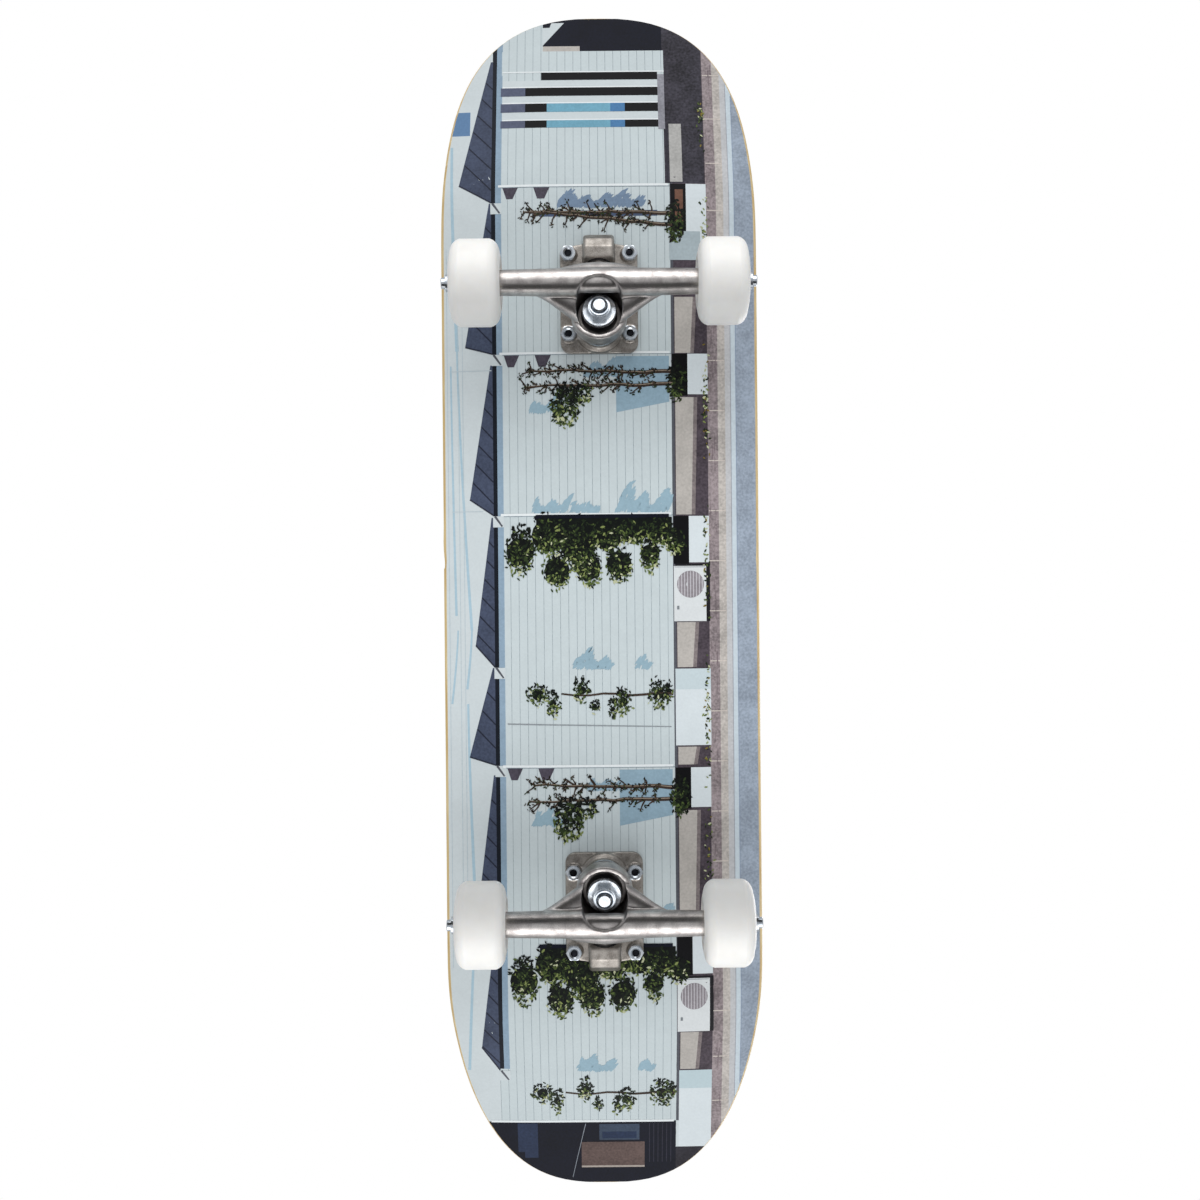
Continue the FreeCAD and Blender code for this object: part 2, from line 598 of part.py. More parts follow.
def cup_washer(radius, start, direction):
    """Cup washer on the kingpin; its lip holds a bushing of the given radius."""
    lip_inner = radius + LIP_CLEARANCE
    lip_outer = lip_inner + LIP_WALL
    far = WASHER_THICKNESS + WASHER_LIP
    washer = turned((KINGPIN_RADIUS, 0), (lip_outer - WASHER_ROUND, 0), (lip_outer, WASHER_ROUND),
                    (lip_outer, far), (lip_inner, far), (lip_inner, WASHER_THICKNESS),
                    (KINGPIN_RADIUS, WASHER_THICKNESS))
    if direction < 0:
        washer = washer.mirror(V(), Z_AXIS)
    return on_kingpin(placed(washer, offset=V(0, 0, start)))


# ---- Truck: hanger and axle ----
def ellipse_section(x, y_low, y_high, z_low, z_high):
    """Closed ellipse in the plane at x."""
    centre = V(x, (y_low + y_high) / 2, (z_low + z_high) / 2)
    wide = (y_high - y_low) / 2
    tall = (z_high - z_low) / 2
    points = [centre + V(0, wide * math.cos(math.radians(30 * i)), tall * math.sin(math.radians(30 * i)))
              for i in range(12)]
    curve = Part.BSplineCurve()
    curve.interpolate(Points=points, PeriodicFlag=True)
    return Part.Wire(curve.toShape())


def hanger_wing():
    """Web that joins the ring to the axle tube on one side, seen below the tube."""
    sections = [ellipse_section(HANGER_END * share, AXLE_OFFSET + inner, AXLE_OFFSET + outer,
                                AXLE_DROP + low, AXLE_DROP + high)
                for share, inner, outer, low, high in WING_SECTIONS]
    return Part.makeLoft(sections, True)


def hanger_crown():
    """Bulge of the casting on the outer side of the axle tube."""
    centre_z = AXLE_DROP - CROWN_DROP
    sections = []
    for share in (-1.0, -0.6, -0.25, 0.25, 0.6, 1.0):
        swell = (1 - share ** 2) ** 2
        reach = CROWN_END_REACH + (CROWN_REACH - CROWN_END_REACH) * swell
        depth = CROWN_END_DEPTH + (CROWN_DEPTH - CROWN_END_DEPTH) * swell
        sections.append(ellipse_section(HANGER_END * CROWN_SPREAD * share, AXLE_OFFSET - 0.8 * reach,
                                        AXLE_OFFSET + reach, centre_z - depth,
                                        centre_z + min(depth, CROWN_RISE_LIMIT)))
    return Part.makeLoft(sections, True)


def axle_tube():
    """Cast tube round the axle, a little thicker in the middle."""
    end = HANGER_END
    face = TUBE_END_RADIUS - TUBE_CHAMFER
    tube = turned((0, -end), (face, -end), (TUBE_END_RADIUS, TUBE_CHAMFER - end),
                  (TUBE_MIDDLE_RADIUS, -TUBE_MIDDLE_RADIUS), (TUBE_MIDDLE_RADIUS, TUBE_MIDDLE_RADIUS),
                  (TUBE_END_RADIUS, end - TUBE_CHAMFER), (face, end), (0, end))
    return placed(tube, FreeCAD.Rotation(Y_AXIS, 90), V(0, AXLE_OFFSET, AXLE_DROP))


def ring_block():
    """Solid round of the hanger's bushing ring, on the kingpin's axis."""
    return on_kingpin(turned((0, RING_BOTTOM), (RING_RADIUS - BOWL_ROUND, RING_BOTTOM),
                             (RING_RADIUS, RING_BOTTOM + 2 * BOWL_ROUND),
                             (RING_RADIUS, RING_TOP - CAST_CHAMFER),
                             (RING_RADIUS - CAST_CHAMFER, RING_TOP), (0, RING_TOP)))


def pivot_stem():
    """Round-ended stem that turns in the pivot cup, and the gusset between it and the tube."""
    seat_distance = (kingpin_point((SEAT_START + SEAT_END) / 2) - PIVOT_CENTRE).Length
    slant = PIVOT_RADIUS * math.sqrt(0.5)
    start = CUP_MOUTH + STEM_START
    wide = PIVOT_RADIUS + STEM_FLARE
    stem = on_steering(turned((0, -PIVOT_RADIUS), ((slant, -slant), (PIVOT_RADIUS, 0)),
                              (PIVOT_RADIUS, start), (wide, seat_distance - RING_RADIUS),
                              (wide, seat_distance), (0, seat_distance)))
    root = PIVOT_CENTRE + steering_axis() * (start + GUSSET_WIDTH / 2)
    points = [V(0, root.y, root.z), V(0, AXLE_OFFSET + TUBE_MIDDLE_RADIUS, AXLE_DROP - GUSSET_WIDTH),
              V(0, AXLE_OFFSET - TUBE_MIDDLE_RADIUS, AXLE_DROP - GUSSET_WIDTH / 2),
              V(0, root.y - RING_RADIUS, root.z + GUSSET_WIDTH / 3)]
    gusset = Part.Face(Part.makePolygon(points + points[:1])).extrude(V(GUSSET_WIDTH, 0, 0))
    return [stem, placed(gusset, offset=V(-GUSSET_WIDTH / 2, 0, 0))]


def hanger():
    """Cast hanger: axle tube, wings, crown, bushing ring and the pivot's stem."""
    wing = hanger_wing()
    body = axle_tube().multiFuse([wing, wing.mirror(V(), X_AXIS), ring_block(), hanger_crown()]
                                 + pivot_stem())
    along_axle = FreeCAD.Rotation(Y_AXIS, 90)
    axle_keep = placed(Part.makeCylinder(AXLE_RADIUS + AXLE_COVER, HANGER_WIDTH), along_axle,
                       V(-HANGER_END, AXLE_OFFSET, AXLE_DROP))
    axle_bore = placed(Part.makeCylinder(AXLE_RADIUS, HANGER_WIDTH + 2 * TOOL_REACH), along_axle,
                       V(-HANGER_END - TOOL_REACH, AXLE_OFFSET, AXLE_DROP))
    pocket = on_kingpin(Part.makeCylinder(RING_RECESS, AXLE_DROP, V(0, 0, SEAT_END))).cut(axle_keep)
    lower_recess = on_kingpin(Part.makeCylinder(LOWER_RECESS, SEAT_START, V(0, 0, 0)))
    seat_hole = on_kingpin(Part.makeCylinder(SEAT_BORE, 2 * AXLE_DROP)).cut(axle_keep)
    body = body.cut([pocket, lower_recess, seat_hole, axle_bore])
    return max(body.Solids, key=lambda piece: piece.Volume)


def axle():
    """Axle cast into the hanger, with a plain chamfered tip outside each nut."""
    tip = AXLE_TIP_X
    half = tip + AXLE_TIP_LENGTH
    radius = AXLE_RADIUS - AXLE_TIP_STEP
    chamfer = AXLE_TIP_CHAMFER
    shaft = turned((0, -half), (radius - chamfer, -half), (radius, chamfer - half), (radius, -tip),
                   (AXLE_RADIUS, -tip), (AXLE_RADIUS, tip), (radius, tip), (radius, half - chamfer),
                   (radius - chamfer, half), (0, half))
    return placed(shaft, FreeCAD.Rotation(Y_AXIS, 90), V(0, AXLE_OFFSET, AXLE_DROP))


def axle_hardware():
    """Nuts, nylon rings, speed washers and bearing spacers of both ends of an axle."""
    nut, insert = lock_nut(AXLE_NUT_FLATS, AXLE_NUT_HEIGHT, AXLE_RADIUS)
    washer = ring(AXLE_RADIUS, AXLE_RADIUS + SPEED_WASHER_RIM, 0, SPEED_WASHER_THICKNESS)
    spacer = ring(AXLE_RADIUS, AXLE_RADIUS + SPACER_WALL, -SPACER_LENGTH / 2, SPACER_LENGTH / 2)
    nodes = {"axle_nuts": [], "axle_nut_inserts": [], "speed_washers": [], "bearing_spacers": []}
    for side in (-1, 1):
        nodes["axle_nuts"].append(on_axle(nut, side * AXLE_NUT_X))
        nodes["axle_nut_inserts"].append(on_axle(insert, side * AXLE_NUT_X))
        nodes["speed_washers"].append(on_axle(washer, side * HANGER_END))
        nodes["speed_washers"].append(on_axle(washer, side * OUTER_WASHER_X))
        nodes["bearing_spacers"].append(on_axle(spacer, side * WHEEL_X))
    return {name: Part.makeCompound(shapes) for name, shapes in nodes.items()}


# ---- Bearings and wheels ----
def ball_groove():
    """Ring-shaped room for the balls."""
    return Part.makeTorus(BALL_CIRCLE, BALL_RADIUS + GROOVE_CLEARANCE)


def inner_race():
    """Inner race of a bearing."""
    half = BEARING_WIDTH / 2
    return ring(AXLE_RADIUS, INNER_LAND, -half, half).cut(ball_groove())


def outer_race():
    """Outer race of a bearing, with a step at each face that the shields sit in."""
    half = BEARING_WIDTH / 2
    step = SHIELD_THICKNESS + SHIELD_RECESS
    seat = OUTER_LAND + RACE_STEP
    race = turned((OUTER_LAND, step - half), (seat, step - half), (seat, -half), (BEARING_RADIUS, -half),
                  (BEARING_RADIUS, half), (seat, half), (seat, half - step), (OUTER_LAND, half - step))
    return race.cut(ball_groove())


def bearing_shields():
    """The two shields of a bearing, clear of its inner race."""
    outside = BEARING_WIDTH / 2 - SHIELD_RECESS
    shield = ring(INNER_LAND + SHIELD_CLEARANCE, OUTER_LAND + RACE_STEP, outside - SHIELD_THICKNESS, outside)
    return [shield, shield.mirror(V(), Z_AXIS)]


def ball_set():
    """Balls of a bearing and the crown cage that spaces them."""
    angles = [2 * math.pi * i / BALL_COUNT for i in range(BALL_COUNT)]
    centres = [V(BALL_CIRCLE * math.cos(angle), BALL_CIRCLE * math.sin(angle), 0) for angle in angles]
    cage = ring(INNER_LAND + CAGE_CLEARANCE, OUTER_LAND - CAGE_CLEARANCE, BALL_RADIUS / 2,
                BEARING_WIDTH / 2 - SHIELD_THICKNESS - CAGE_CLEARANCE)
    cage = cage.cut([Part.makeSphere(BALL_RADIUS + CAGE_POCKET_GAP, centre) for centre in centres])
    balls = [Part.makeSphere(BALL_RADIUS, centre) for centre in centres]
    return balls + cage.Solids


def wheel():
    """Cast urethane wheel with a flat tread, rounded shoulders and two bearing seats."""
    half = WHEEL_WIDTH / 2
    tread = TREAD_WIDTH / 2
    seat_out = SPACER_LENGTH / 2 + BEARING_WIDTH
    seat_in = SPACER_LENGTH / 2
    mouth = BEARING_RADIUS + WHEEL_MOUTH
    mouth_end = seat_out + WHEEL_MOUTH / 2
    bulge = (WHEEL_RADIUS - SHOULDER_BULGE, (tread + half + SHOULDER_FACE) / 2)
    shoulder = (WHEEL_RADIUS - SHOULDER_DROP, half - SHOULDER_FACE)
    web = OUTER_LAND + RACE_STEP / 2
    return turned(
        (WHEEL_RADIUS, -tread), (WHEEL_RADIUS, tread), (bulge, shoulder), (LIP_RADIUS, half),
        (mouth, mouth_end), (BEARING_RADIUS, seat_out), (BEARING_RADIUS, seat_in), (web, seat_in),
        (web, -seat_in), (BEARING_RADIUS, -seat_in), (BEARING_RADIUS, -seat_out), (mouth, -mouth_end),
        (LIP_RADIUS, -half), (shoulder[0], -shoulder[1]),
        ((bulge[0], -bulge[1]), (WHEEL_RADIUS, -tread)))


def wheel_nodes(side):
    """A wheel on one side of a truck, with the outer races, shields and balls of its two bearings."""
    bearings = (side * INNER_BEARING_X, side * OUTER_BEARING_X)
    outer = outer_race()
    return {
        "wheel": on_axle(wheel(), side * WHEEL_X),
        "outer_races": Part.makeCompound([on_axle(outer, x) for x in bearings]),
        "bearing_shields": Part.makeCompound([on_axle(s, x) for x in bearings for s in bearing_shields()]),
        "ball_sets": Part.makeCompound([on_axle(s, x) for x in bearings for s in ball_set()])}


def inner_races():
    """The four inner races on an axle."""
    places = [side * x for side in (-1, 1) for x in (INNER_BEARING_X, OUTER_BEARING_X)]
    return Part.makeCompound([on_axle(inner_race(), x) for x in places])


def truck_nodes():
    """Every piece of a truck that isn't part of a wheel, in the truck frame."""
    nut_body, nut_insert = lock_nut(KINGPIN_NUT_FLATS, KINGPIN_NUT_HEIGHT, KINGPIN_RADIUS)
    on_thread = V(0, 0, KINGPIN_NUT_START)
    mounting_nut_bodies, inserts = mounting_nuts()
    inserts.append(on_kingpin(placed(nut_insert, offset=on_thread)))
    nodes = {
        "mounting_bolts": mounting_bolts(),
        "mounting_nuts": mounting_nut_bodies,
        "nut_inserts": Part.makeCompound(inserts),
        "baseplate": baseplate(),
        "pivot_cup": pivot_cup(),
        "kingpin": kingpin(),
        "kingpin_nut": on_kingpin(placed(nut_body, offset=on_thread)),
        "boardside_bushing": boardside_bushing(),
        "roadside_bushing": roadside_bushing(),
        "boardside_cup_washer": cup_washer(BOARDSIDE_BUSHING_RADIUS, BOSS_TOP, 1),
        "roadside_cup_washer": cup_washer(ROADSIDE_BUSHING_TOP_RADIUS, KINGPIN_NUT_START, -1),
        "hanger": hanger(),
        "axle": axle(),
        "inner_races": inner_races()}
    nodes.update(axle_hardware())
    return nodes


def board_nodes():
    """Every node of the board, in the board frame."""
    nodes = deck_nodes()
    front = FreeCAD.Placement(V(0, FRONT_TRUCK_Y, UNDERSIDE_Z), FreeCAD.Rotation(Y_AXIS, 180))
    rear = FreeCAD.Placement(V(0, REAR_TRUCK_Y, UNDERSIDE_Z), FreeCAD.Rotation(X_AXIS, 180))
    truck = truck_nodes()
    # Left is -X. The front truck is turned about Y, so its own +x side is the board's left.
    wheel_sides = {"front": {"left": 1, "right": -1}, "rear": {"left": -1, "right": 1}}
    for end, placement in (("front", front), ("rear", rear)):
        for name, shape in truck.items():
            nodes[f"{end}_{name}"] = shape.transformed(placement.toMatrix())
        for side, sign in wheel_sides[end].items():
            for name, shape in wheel_nodes(sign).items():
                nodes[f"{end}_{side}_{name}"] = shape.transformed(placement.toMatrix())
    return nodes


os.makedirs("parts", exist_ok=True)
for node_name, node_shape in board_nodes().items():
    node_shape.exportStep(f"parts/{node_name}.step")
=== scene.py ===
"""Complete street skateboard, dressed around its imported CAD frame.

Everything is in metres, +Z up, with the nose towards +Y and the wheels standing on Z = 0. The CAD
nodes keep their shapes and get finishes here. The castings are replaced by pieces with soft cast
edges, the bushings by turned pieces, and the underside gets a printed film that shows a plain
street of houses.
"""

import logging
import math
import random
from dataclasses import dataclass, field
from enum import Enum

import bpy
from mathutils import Matrix, Vector
from mathutils.bvhtree import BVHTree


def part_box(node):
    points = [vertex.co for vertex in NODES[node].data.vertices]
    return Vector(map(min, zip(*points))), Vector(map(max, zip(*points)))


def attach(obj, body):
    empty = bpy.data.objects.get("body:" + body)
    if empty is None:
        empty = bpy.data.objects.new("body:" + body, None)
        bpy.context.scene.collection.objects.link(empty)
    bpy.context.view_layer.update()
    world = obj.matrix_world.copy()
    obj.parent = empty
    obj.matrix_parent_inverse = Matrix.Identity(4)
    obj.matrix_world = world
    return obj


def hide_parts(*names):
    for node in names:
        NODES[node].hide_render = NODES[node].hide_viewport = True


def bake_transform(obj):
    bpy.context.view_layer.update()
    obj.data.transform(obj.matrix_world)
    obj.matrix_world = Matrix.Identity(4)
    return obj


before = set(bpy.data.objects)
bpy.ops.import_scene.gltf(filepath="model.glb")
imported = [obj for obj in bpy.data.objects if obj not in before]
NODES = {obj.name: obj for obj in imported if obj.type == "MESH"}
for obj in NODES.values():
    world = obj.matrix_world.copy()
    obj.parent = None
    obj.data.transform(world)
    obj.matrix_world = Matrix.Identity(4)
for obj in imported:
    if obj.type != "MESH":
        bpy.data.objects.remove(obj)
LOG = logging.getLogger("skateboard")
MM = 0.001
ENDS = ("front", "rear")
SIDES = ("left", "right")
UNDERSIDE = 0.081
Colour = tuple[float, float, float, float]
Point = tuple[float, float]


# ---- Finishes ----
# The print's corner attributes: its colour with its grain in the alpha, and how far board joints show.
INK = "ink"
JOINTS = "joints"


def linear(code: str) -> Colour:
    """Turns an sRGB hex colour into a linear one.

    Args:
        code: The colour as "#rrggbb".

    Returns:
        Red, green, blue and alpha, linear.
    """
    shares = [int(code[i:i + 2], 16) / 255 for i in (1, 3, 5)]
    red, green, blue = (s / 12.92 if s <= 0.04045 else ((s + 0.055) / 1.055) ** 2.4 for s in shares)
    return red, green, blue, 1.0


def per(size_mm: float) -> float:
    """Texture scale whose features are about size_mm apart on Object coordinates in metres."""
    return 1 / (size_mm * MM)


class Graph:
    """The nodes of one material, with its shader already joined to the output."""

    def __init__(self, name: str) -> None:
        """Starts an empty material.

        Args:
            name: The material's name.
        """
        self.material = bpy.data.materials.new(name)
        self.material.use_nodes = True
        self.tree = self.material.node_tree
        self.shader = self.tree.nodes["Principled BSDF"]

    def add(self, kind: str, inputs: dict[int | str, object], **settings: object) -> bpy.types.Node:
        """Adds one node with its settings and links.

        Args:
            kind: The node's Blender type.
            inputs: What goes in each input: a socket to link or a value.
            **settings: The node's own settings.

        Returns:
            The new node.
        """
        node = self.tree.nodes.new(kind)
        for key, value in settings.items():
            setattr(node, key, value)
        self.feed(node, inputs)
        return node

    def feed(self, node: bpy.types.Node, inputs: dict[int | str, object]) -> None:
        """Sets or links a node's inputs.

        Args:
            node: The node to feed.
            inputs: What goes in each input: a socket to link or a value.
        """
        for key, value in inputs.items():
            if isinstance(value, bpy.types.NodeSocket):
                self.tree.links.new(value, node.inputs[key])
            else:
                node.inputs[key].default_value = value


    def place(self) -> bpy.types.NodeSocket:
        """Returns the piece's own coordinates, in metres."""
        return self.add("ShaderNodeTexCoord", {}).outputs["Object"]

    def noise(self, place: bpy.types.NodeSocket, size_mm: float, detail: float,
              distortion: float = 0.0) -> bpy.types.NodeSocket:
        """Returns noise whose features are about size_mm apart."""
        return self.add("ShaderNodeTexNoise", {"Vector": place, "Scale": per(size_mm), "Detail": detail,
                                               "Distortion": distortion}).outputs["Fac"]

    def blend(self, share: bpy.types.NodeSocket, none: object, full: object) -> bpy.types.NodeSocket:
        """Returns a mix of two colours, each a socket or a value."""
        return self.add("ShaderNodeMix", {0: share, 6: none, 7: full}, data_type="RGBA").outputs[2]

    def remap(self, value: bpy.types.NodeSocket, source: tuple[float, float] = (0.0, 1.0),
              result: tuple[float, float] = (0.0, 1.0)) -> bpy.types.NodeSocket:
        """Returns a value carried from one range to another."""
        return self.add("ShaderNodeMapRange", {
            "Value": value, "From Min": source[0], "From Max": source[1], "To Min": result[0],
            "To Max": result[1]}).outputs["Result"]

    def maths(self, operation: str, first: object, second: object) -> bpy.types.NodeSocket:
        """Returns the result of one sum on two inputs, each a socket or a value."""
        return self.add("ShaderNodeMath", {0: first, 1: second}, operation=operation).outputs[0]

    def relief(self, height: bpy.types.NodeSocket, strength: float,
               depth_mm: float) -> bpy.types.NodeSocket:
        """Returns a normal that follows a height."""
        return self.add("ShaderNodeBump", {"Height": height, "Strength": strength,
                                           "Distance": depth_mm * MM}).outputs["Normal"]


@dataclass(frozen=True)
class Finish:
    """A material of the board, made once and shared by name."""

    name: str

    def material(self) -> bpy.types.Material:
        """Returns the material, built the first time it is asked for."""
        return bpy.data.materials.get(self.name) or self.build()

    def build(self) -> bpy.types.Material:
        """Builds the material's nodes."""
        raise NotImplementedError


@dataclass(frozen=True)
class Metal(Finish):
    """Metal with a faint mottling of colour and shine and a fine tooth on its surface."""

    light: str
    dark: str
    roughness: float
    roughness_range: float
    patch_mm: float
    tooth_mm: float
    tooth_depth_mm: float
    tooth_share: float = 0.45

    def build(self) -> bpy.types.Material:
        """Builds the material's nodes."""
        graph = Graph(self.name)
        place = graph.place()
        patches = graph.noise(place, self.patch_mm, 4.0)
        tooth = graph.noise(place, self.tooth_mm, 3.0)
        both = graph.add("ShaderNodeMix", {0: self.tooth_share, 2: patches, 3: tooth}).outputs[0]
        share = graph.remap(both, source=(0.38, 0.62))
        shine = graph.remap(share, result=(self.roughness + self.roughness_range,
                                           self.roughness - self.roughness_range))
        graph.feed(graph.shader, {
            "Base Color": graph.blend(share, linear(self.dark), linear(self.light)), "Metallic": 1.0,
            "Roughness": shine, "Normal": graph.relief(tooth, 0.6, self.tooth_depth_mm)})
        return graph.material


@dataclass(frozen=True)
class Moulded(Finish):
    """Moulded or cast plastic and rubber: an even body colour, a little cloudy, with soft light in it."""

    light: str
    dark: str
    roughness: float
    cloud_mm: float
    tooth_mm: float
    tooth_depth_mm: float
    ior: float
    depth_mm: float = 0.0
    roughness_range: float = 0.06

    def build(self) -> bpy.types.Material:
        """Builds the material's nodes."""
        graph = Graph(self.name)
        place = graph.place()
        cloud = graph.noise(place, self.cloud_mm, 3.0)
        tooth = graph.noise(place, self.tooth_mm, 2.0)
        shine = graph.remap(cloud, result=(self.roughness - self.roughness_range,
                                           self.roughness + self.roughness_range))
        graph.feed(graph.shader, {
            "Base Color": graph.blend(cloud, linear(self.dark), linear(self.light)), "IOR": self.ior,
            "Roughness": shine, "Normal": graph.relief(tooth, 0.5, self.tooth_depth_mm)})
        if self.depth_mm:
            graph.feed(graph.shader, {"Subsurface Weight": 0.35, "Subsurface Radius": (1.0, 0.92, 0.8),
                                      "Subsurface Scale": self.depth_mm * MM})
        return graph.material


@dataclass(frozen=True)
class Maple(Finish):
    """Sliced maple veneer: pale wood with long grain along the board, dyed or plain."""

    light: str
    dark: str
    grain_mm: float = 1.6
    # How many times as long as it is wide the grain runs.
    grain_draw: float = 22.0

    def build(self) -> bpy.types.Material:
        """Builds the material's nodes."""
        graph = Graph(self.name)
        drawn = graph.add("ShaderNodeMapping", {"Vector": graph.place(),
                                                "Scale": (1.0, 1 / self.grain_draw, 1.0)})
        grain = graph.noise(drawn.outputs["Vector"], self.grain_mm, 6.0, 0.4)
        share = graph.remap(grain, source=(0.35, 0.65))
        graph.feed(graph.shader, {
            "Base Color": graph.blend(share, linear(self.dark), linear(self.light)), "IOR": 1.5,
            "Roughness": 0.48, "Normal": graph.relief(grain, 0.35, 0.08)})
        return graph.material


@dataclass(frozen=True)
class GritTape(Finish):
    """Silicon carbide grit on black paper: matt black crystals, a few of which are glossier and carry a
    painted glint.
    """

    # The real grit is 0.2 mm; it is drawn at 0.7 mm, the finest that shows at arm's length.
    grit_mm: float = 0.7

    def build(self) -> bpy.types.Material:
        """Builds the material's nodes."""
        graph = Graph(self.name)
        place = graph.place()
        crystals = graph.add("ShaderNodeTexVoronoi", {"Vector": place, "Scale": per(self.grit_mm)})
        turned = graph.add("ShaderNodeSeparateColor", {"Color": crystals.outputs["Color"]}).outputs["Red"]
        base = graph.blend(graph.noise(place, 60.0, 3.0), linear("#101011"), linear("#232325"))
        # A few crystals, picked at random, get a painted glint: their colour is lifted towards grey.
        painted_glint = graph.remap(turned, source=(0.86, 1.0), result=(0.0, 0.75))
        graph.feed(graph.shader, {
            "Base Color": graph.blend(painted_glint, base, linear("#77787c")),
            "Roughness": graph.remap(turned, source=(0.8, 1.0), result=(0.9, 0.42)),
            "Normal": graph.relief(crystals.outputs["Distance"], 1.0, 0.25)})
        return graph.material


@dataclass(frozen=True)
class PrintedInk(Finish):
    """Ink heat-pressed under clear lacquer: colours from the piece's own attribute, a little grainy."""

    # The joints between the boards of the printed walls: how far apart and how wide.
    joint_mm: float = 5.6
    joint_width_mm: float = 0.42
    grit_share: float = 0.55

    def build(self) -> bpy.types.Material:
        """Builds the material's nodes."""
        graph = Graph(self.name)
        place = graph.place()
        ink = graph.add("ShaderNodeAttribute", {}, attribute_name=INK)
        joints = graph.add("ShaderNodeAttribute", {}, attribute_name=JOINTS).outputs["Fac"]
        cloud = graph.noise(place, 16.0, 4.0)
        grit = graph.noise(place, 1.7, 3.0)
        both = graph.add("ShaderNodeMix", {0: self.grit_share, 2: cloud, 3: grit}).outputs[0]
        swing = graph.remap(both, source=(0.37, 0.63), result=(-1.0, 1.0))
        gain = graph.maths("ADD", graph.maths("MULTIPLY", swing, ink.outputs["Alpha"]), 1.0)
        toned = graph.add("ShaderNodeVectorMath", {0: ink.outputs["Color"], "Scale": gain},
                          operation="SCALE").outputs[0]
        across = graph.add("ShaderNodeSeparateXYZ", {"Vector": place}).outputs["X"]
        repeat = graph.maths("PINGPONG", across, self.joint_mm * MM / 2)
        line = graph.maths("LESS_THAN", repeat, self.joint_width_mm * MM / 2)
        fade = graph.maths("MULTIPLY", graph.maths("MULTIPLY", line, joints), grit)
        graph.feed(graph.shader, {"Base Color": graph.blend(fade, toned, linear("#64727c")),
                                  "Roughness": 0.55, "IOR": 1.42, "Specular IOR Level": 0.18})
        return graph.material


# Tumbled sand-cast aluminium: bright satin skin with a fine grain that scatters highlights.
CAST_ALUMINIUM = Metal("Tumbled cast aluminium", "#d8d3cf", "#a39d9b", 0.36, 0.07, 7.0, 0.45, 0.05)
# As-cast aluminium, not tumbled, so duller; its colour is darkened as painted shade,
# so the baseplate sits back behind the hanger.
DULL_SHADED_ALUMINIUM = Metal("Dull aluminium with painted shade", "#b6b0a9", "#857f79", 0.46, 0.07, 6.0, 0.6, 0.07)
# Bright zinc plate on steel: cool and near mirror, with faint passivation clouds.
ZINC_STEEL = Metal("Bright zinc plated steel", "#e6eaee", "#b4bdc6", 0.26, 0.06, 5.0, 0.35, 0.01)
# Black oxide on steel: near black with an oily sheen.
BLACK_STEEL = Metal("Black oxide steel", "#33343a", "#17181b", 0.34, 0.08, 4.0, 0.4, 0.02)
# Ground and hardened bearing steel: very smooth and neutral.
BEARING_STEEL = Metal("Ground bearing steel", "#d3d5d8", "#a7aaae", 0.14, 0.04, 3.0, 0.3, 0.005)
# Cast urethane, turned to shape: milky white with soft light inside it.
WHEEL_URETHANE = Moulded("White cast urethane", "#fbf9f5", "#f2f0eb", 0.42, 9.0, 0.5, 0.02, 1.5, 3.0)
# Cast urethane cushions: dense black with a dull shine.
BUSHING_URETHANE = Moulded("Black cast urethane", "#1d1d20", "#121214", 0.4, 6.0, 0.5, 0.03, 1.5)
# Moulded pivot cup: black, a little harder and shinier than the bushings.
PIVOT_URETHANE = Moulded("Moulded pivot urethane", "#242427", "#161618", 0.36, 5.0, 0.5, 0.02, 1.5)
# Nylon locking rings: blue-grey and slightly waxy.
NYLON = Moulded("Moulded nylon", "#2c4243", "#182426", 0.45, 2.0, 0.4, 0.02, 1.53)
# Painted bearing shields: smooth satin black.
SHIELD = Moulded("Black bearing shield", "#26262a", "#18181b", 0.35, 4.0, 0.4, 0.01, 1.5)
# Clear-lacquered outer veneer: warm and pale.
MAPLE_FACE = Maple("Lacquered maple veneer", "#e6cf9b", "#cba868")
# Core veneers, seen only as end strips in the edge.
MAPLE_CORE = Maple("Maple core veneer", "#dcc48c", "#bf9a5c", 1.2)
# Dyed veneer: the golden strip in the edge.
MAPLE_DYED = Maple("Dyed maple veneer", "#e9cb7d", "#cfa957", 1.2)
GRIP = GritTape("Silicon carbide grip tape")
INKED = PrintedInk("Heat transfer print under lacquer")


# ---- Modelling ----
def pick(*pieces: bpy.types.Object) -> None:
    """Deselects everything and then selects these pieces, the first one active."""
    bpy.ops.object.select_all(action="DESELECT")
    for piece in pieces:
        piece.select_set(True)
    bpy.context.view_layer.objects.active = pieces[0]


def apply_modifier(piece: bpy.types.Object, kind: str, **settings: object) -> None:
    """Adds a modifier to a piece and applies it.

    Args:
        piece: The mesh object.
        kind: The modifier's Blender type.
        **settings: The modifier's settings.
    """
    pick(piece)
    modifier = piece.modifiers.new(kind.title(), kind)
    for key, value in settings.items():
        setattr(modifier, key, value)
    bpy.ops.object.modifier_apply(modifier=modifier.name)


def merged_copy(node: str, name: str) -> bpy.types.Object:
    """Copies a CAD node's mesh into a new piece and welds its loose triangles.

    Args:
        node: The CAD node.
        name: The new piece's name.

    Returns:
        The new piece, at the origin.
    """
    mesh = NODES[node].data.copy()
    mesh.materials.clear()
    piece = bpy.data.objects.new(name, mesh)
    bpy.context.scene.collection.objects.link(piece)
    pick(piece)
    bpy.ops.object.mode_set(mode="EDIT")
    bpy.ops.mesh.select_all(action="SELECT")
    bpy.ops.mesh.remove_doubles(threshold=0.002 * MM)
    bpy.ops.mesh.normals_make_consistent(inside=False)
    bpy.ops.object.mode_set(mode="OBJECT")
    return piece


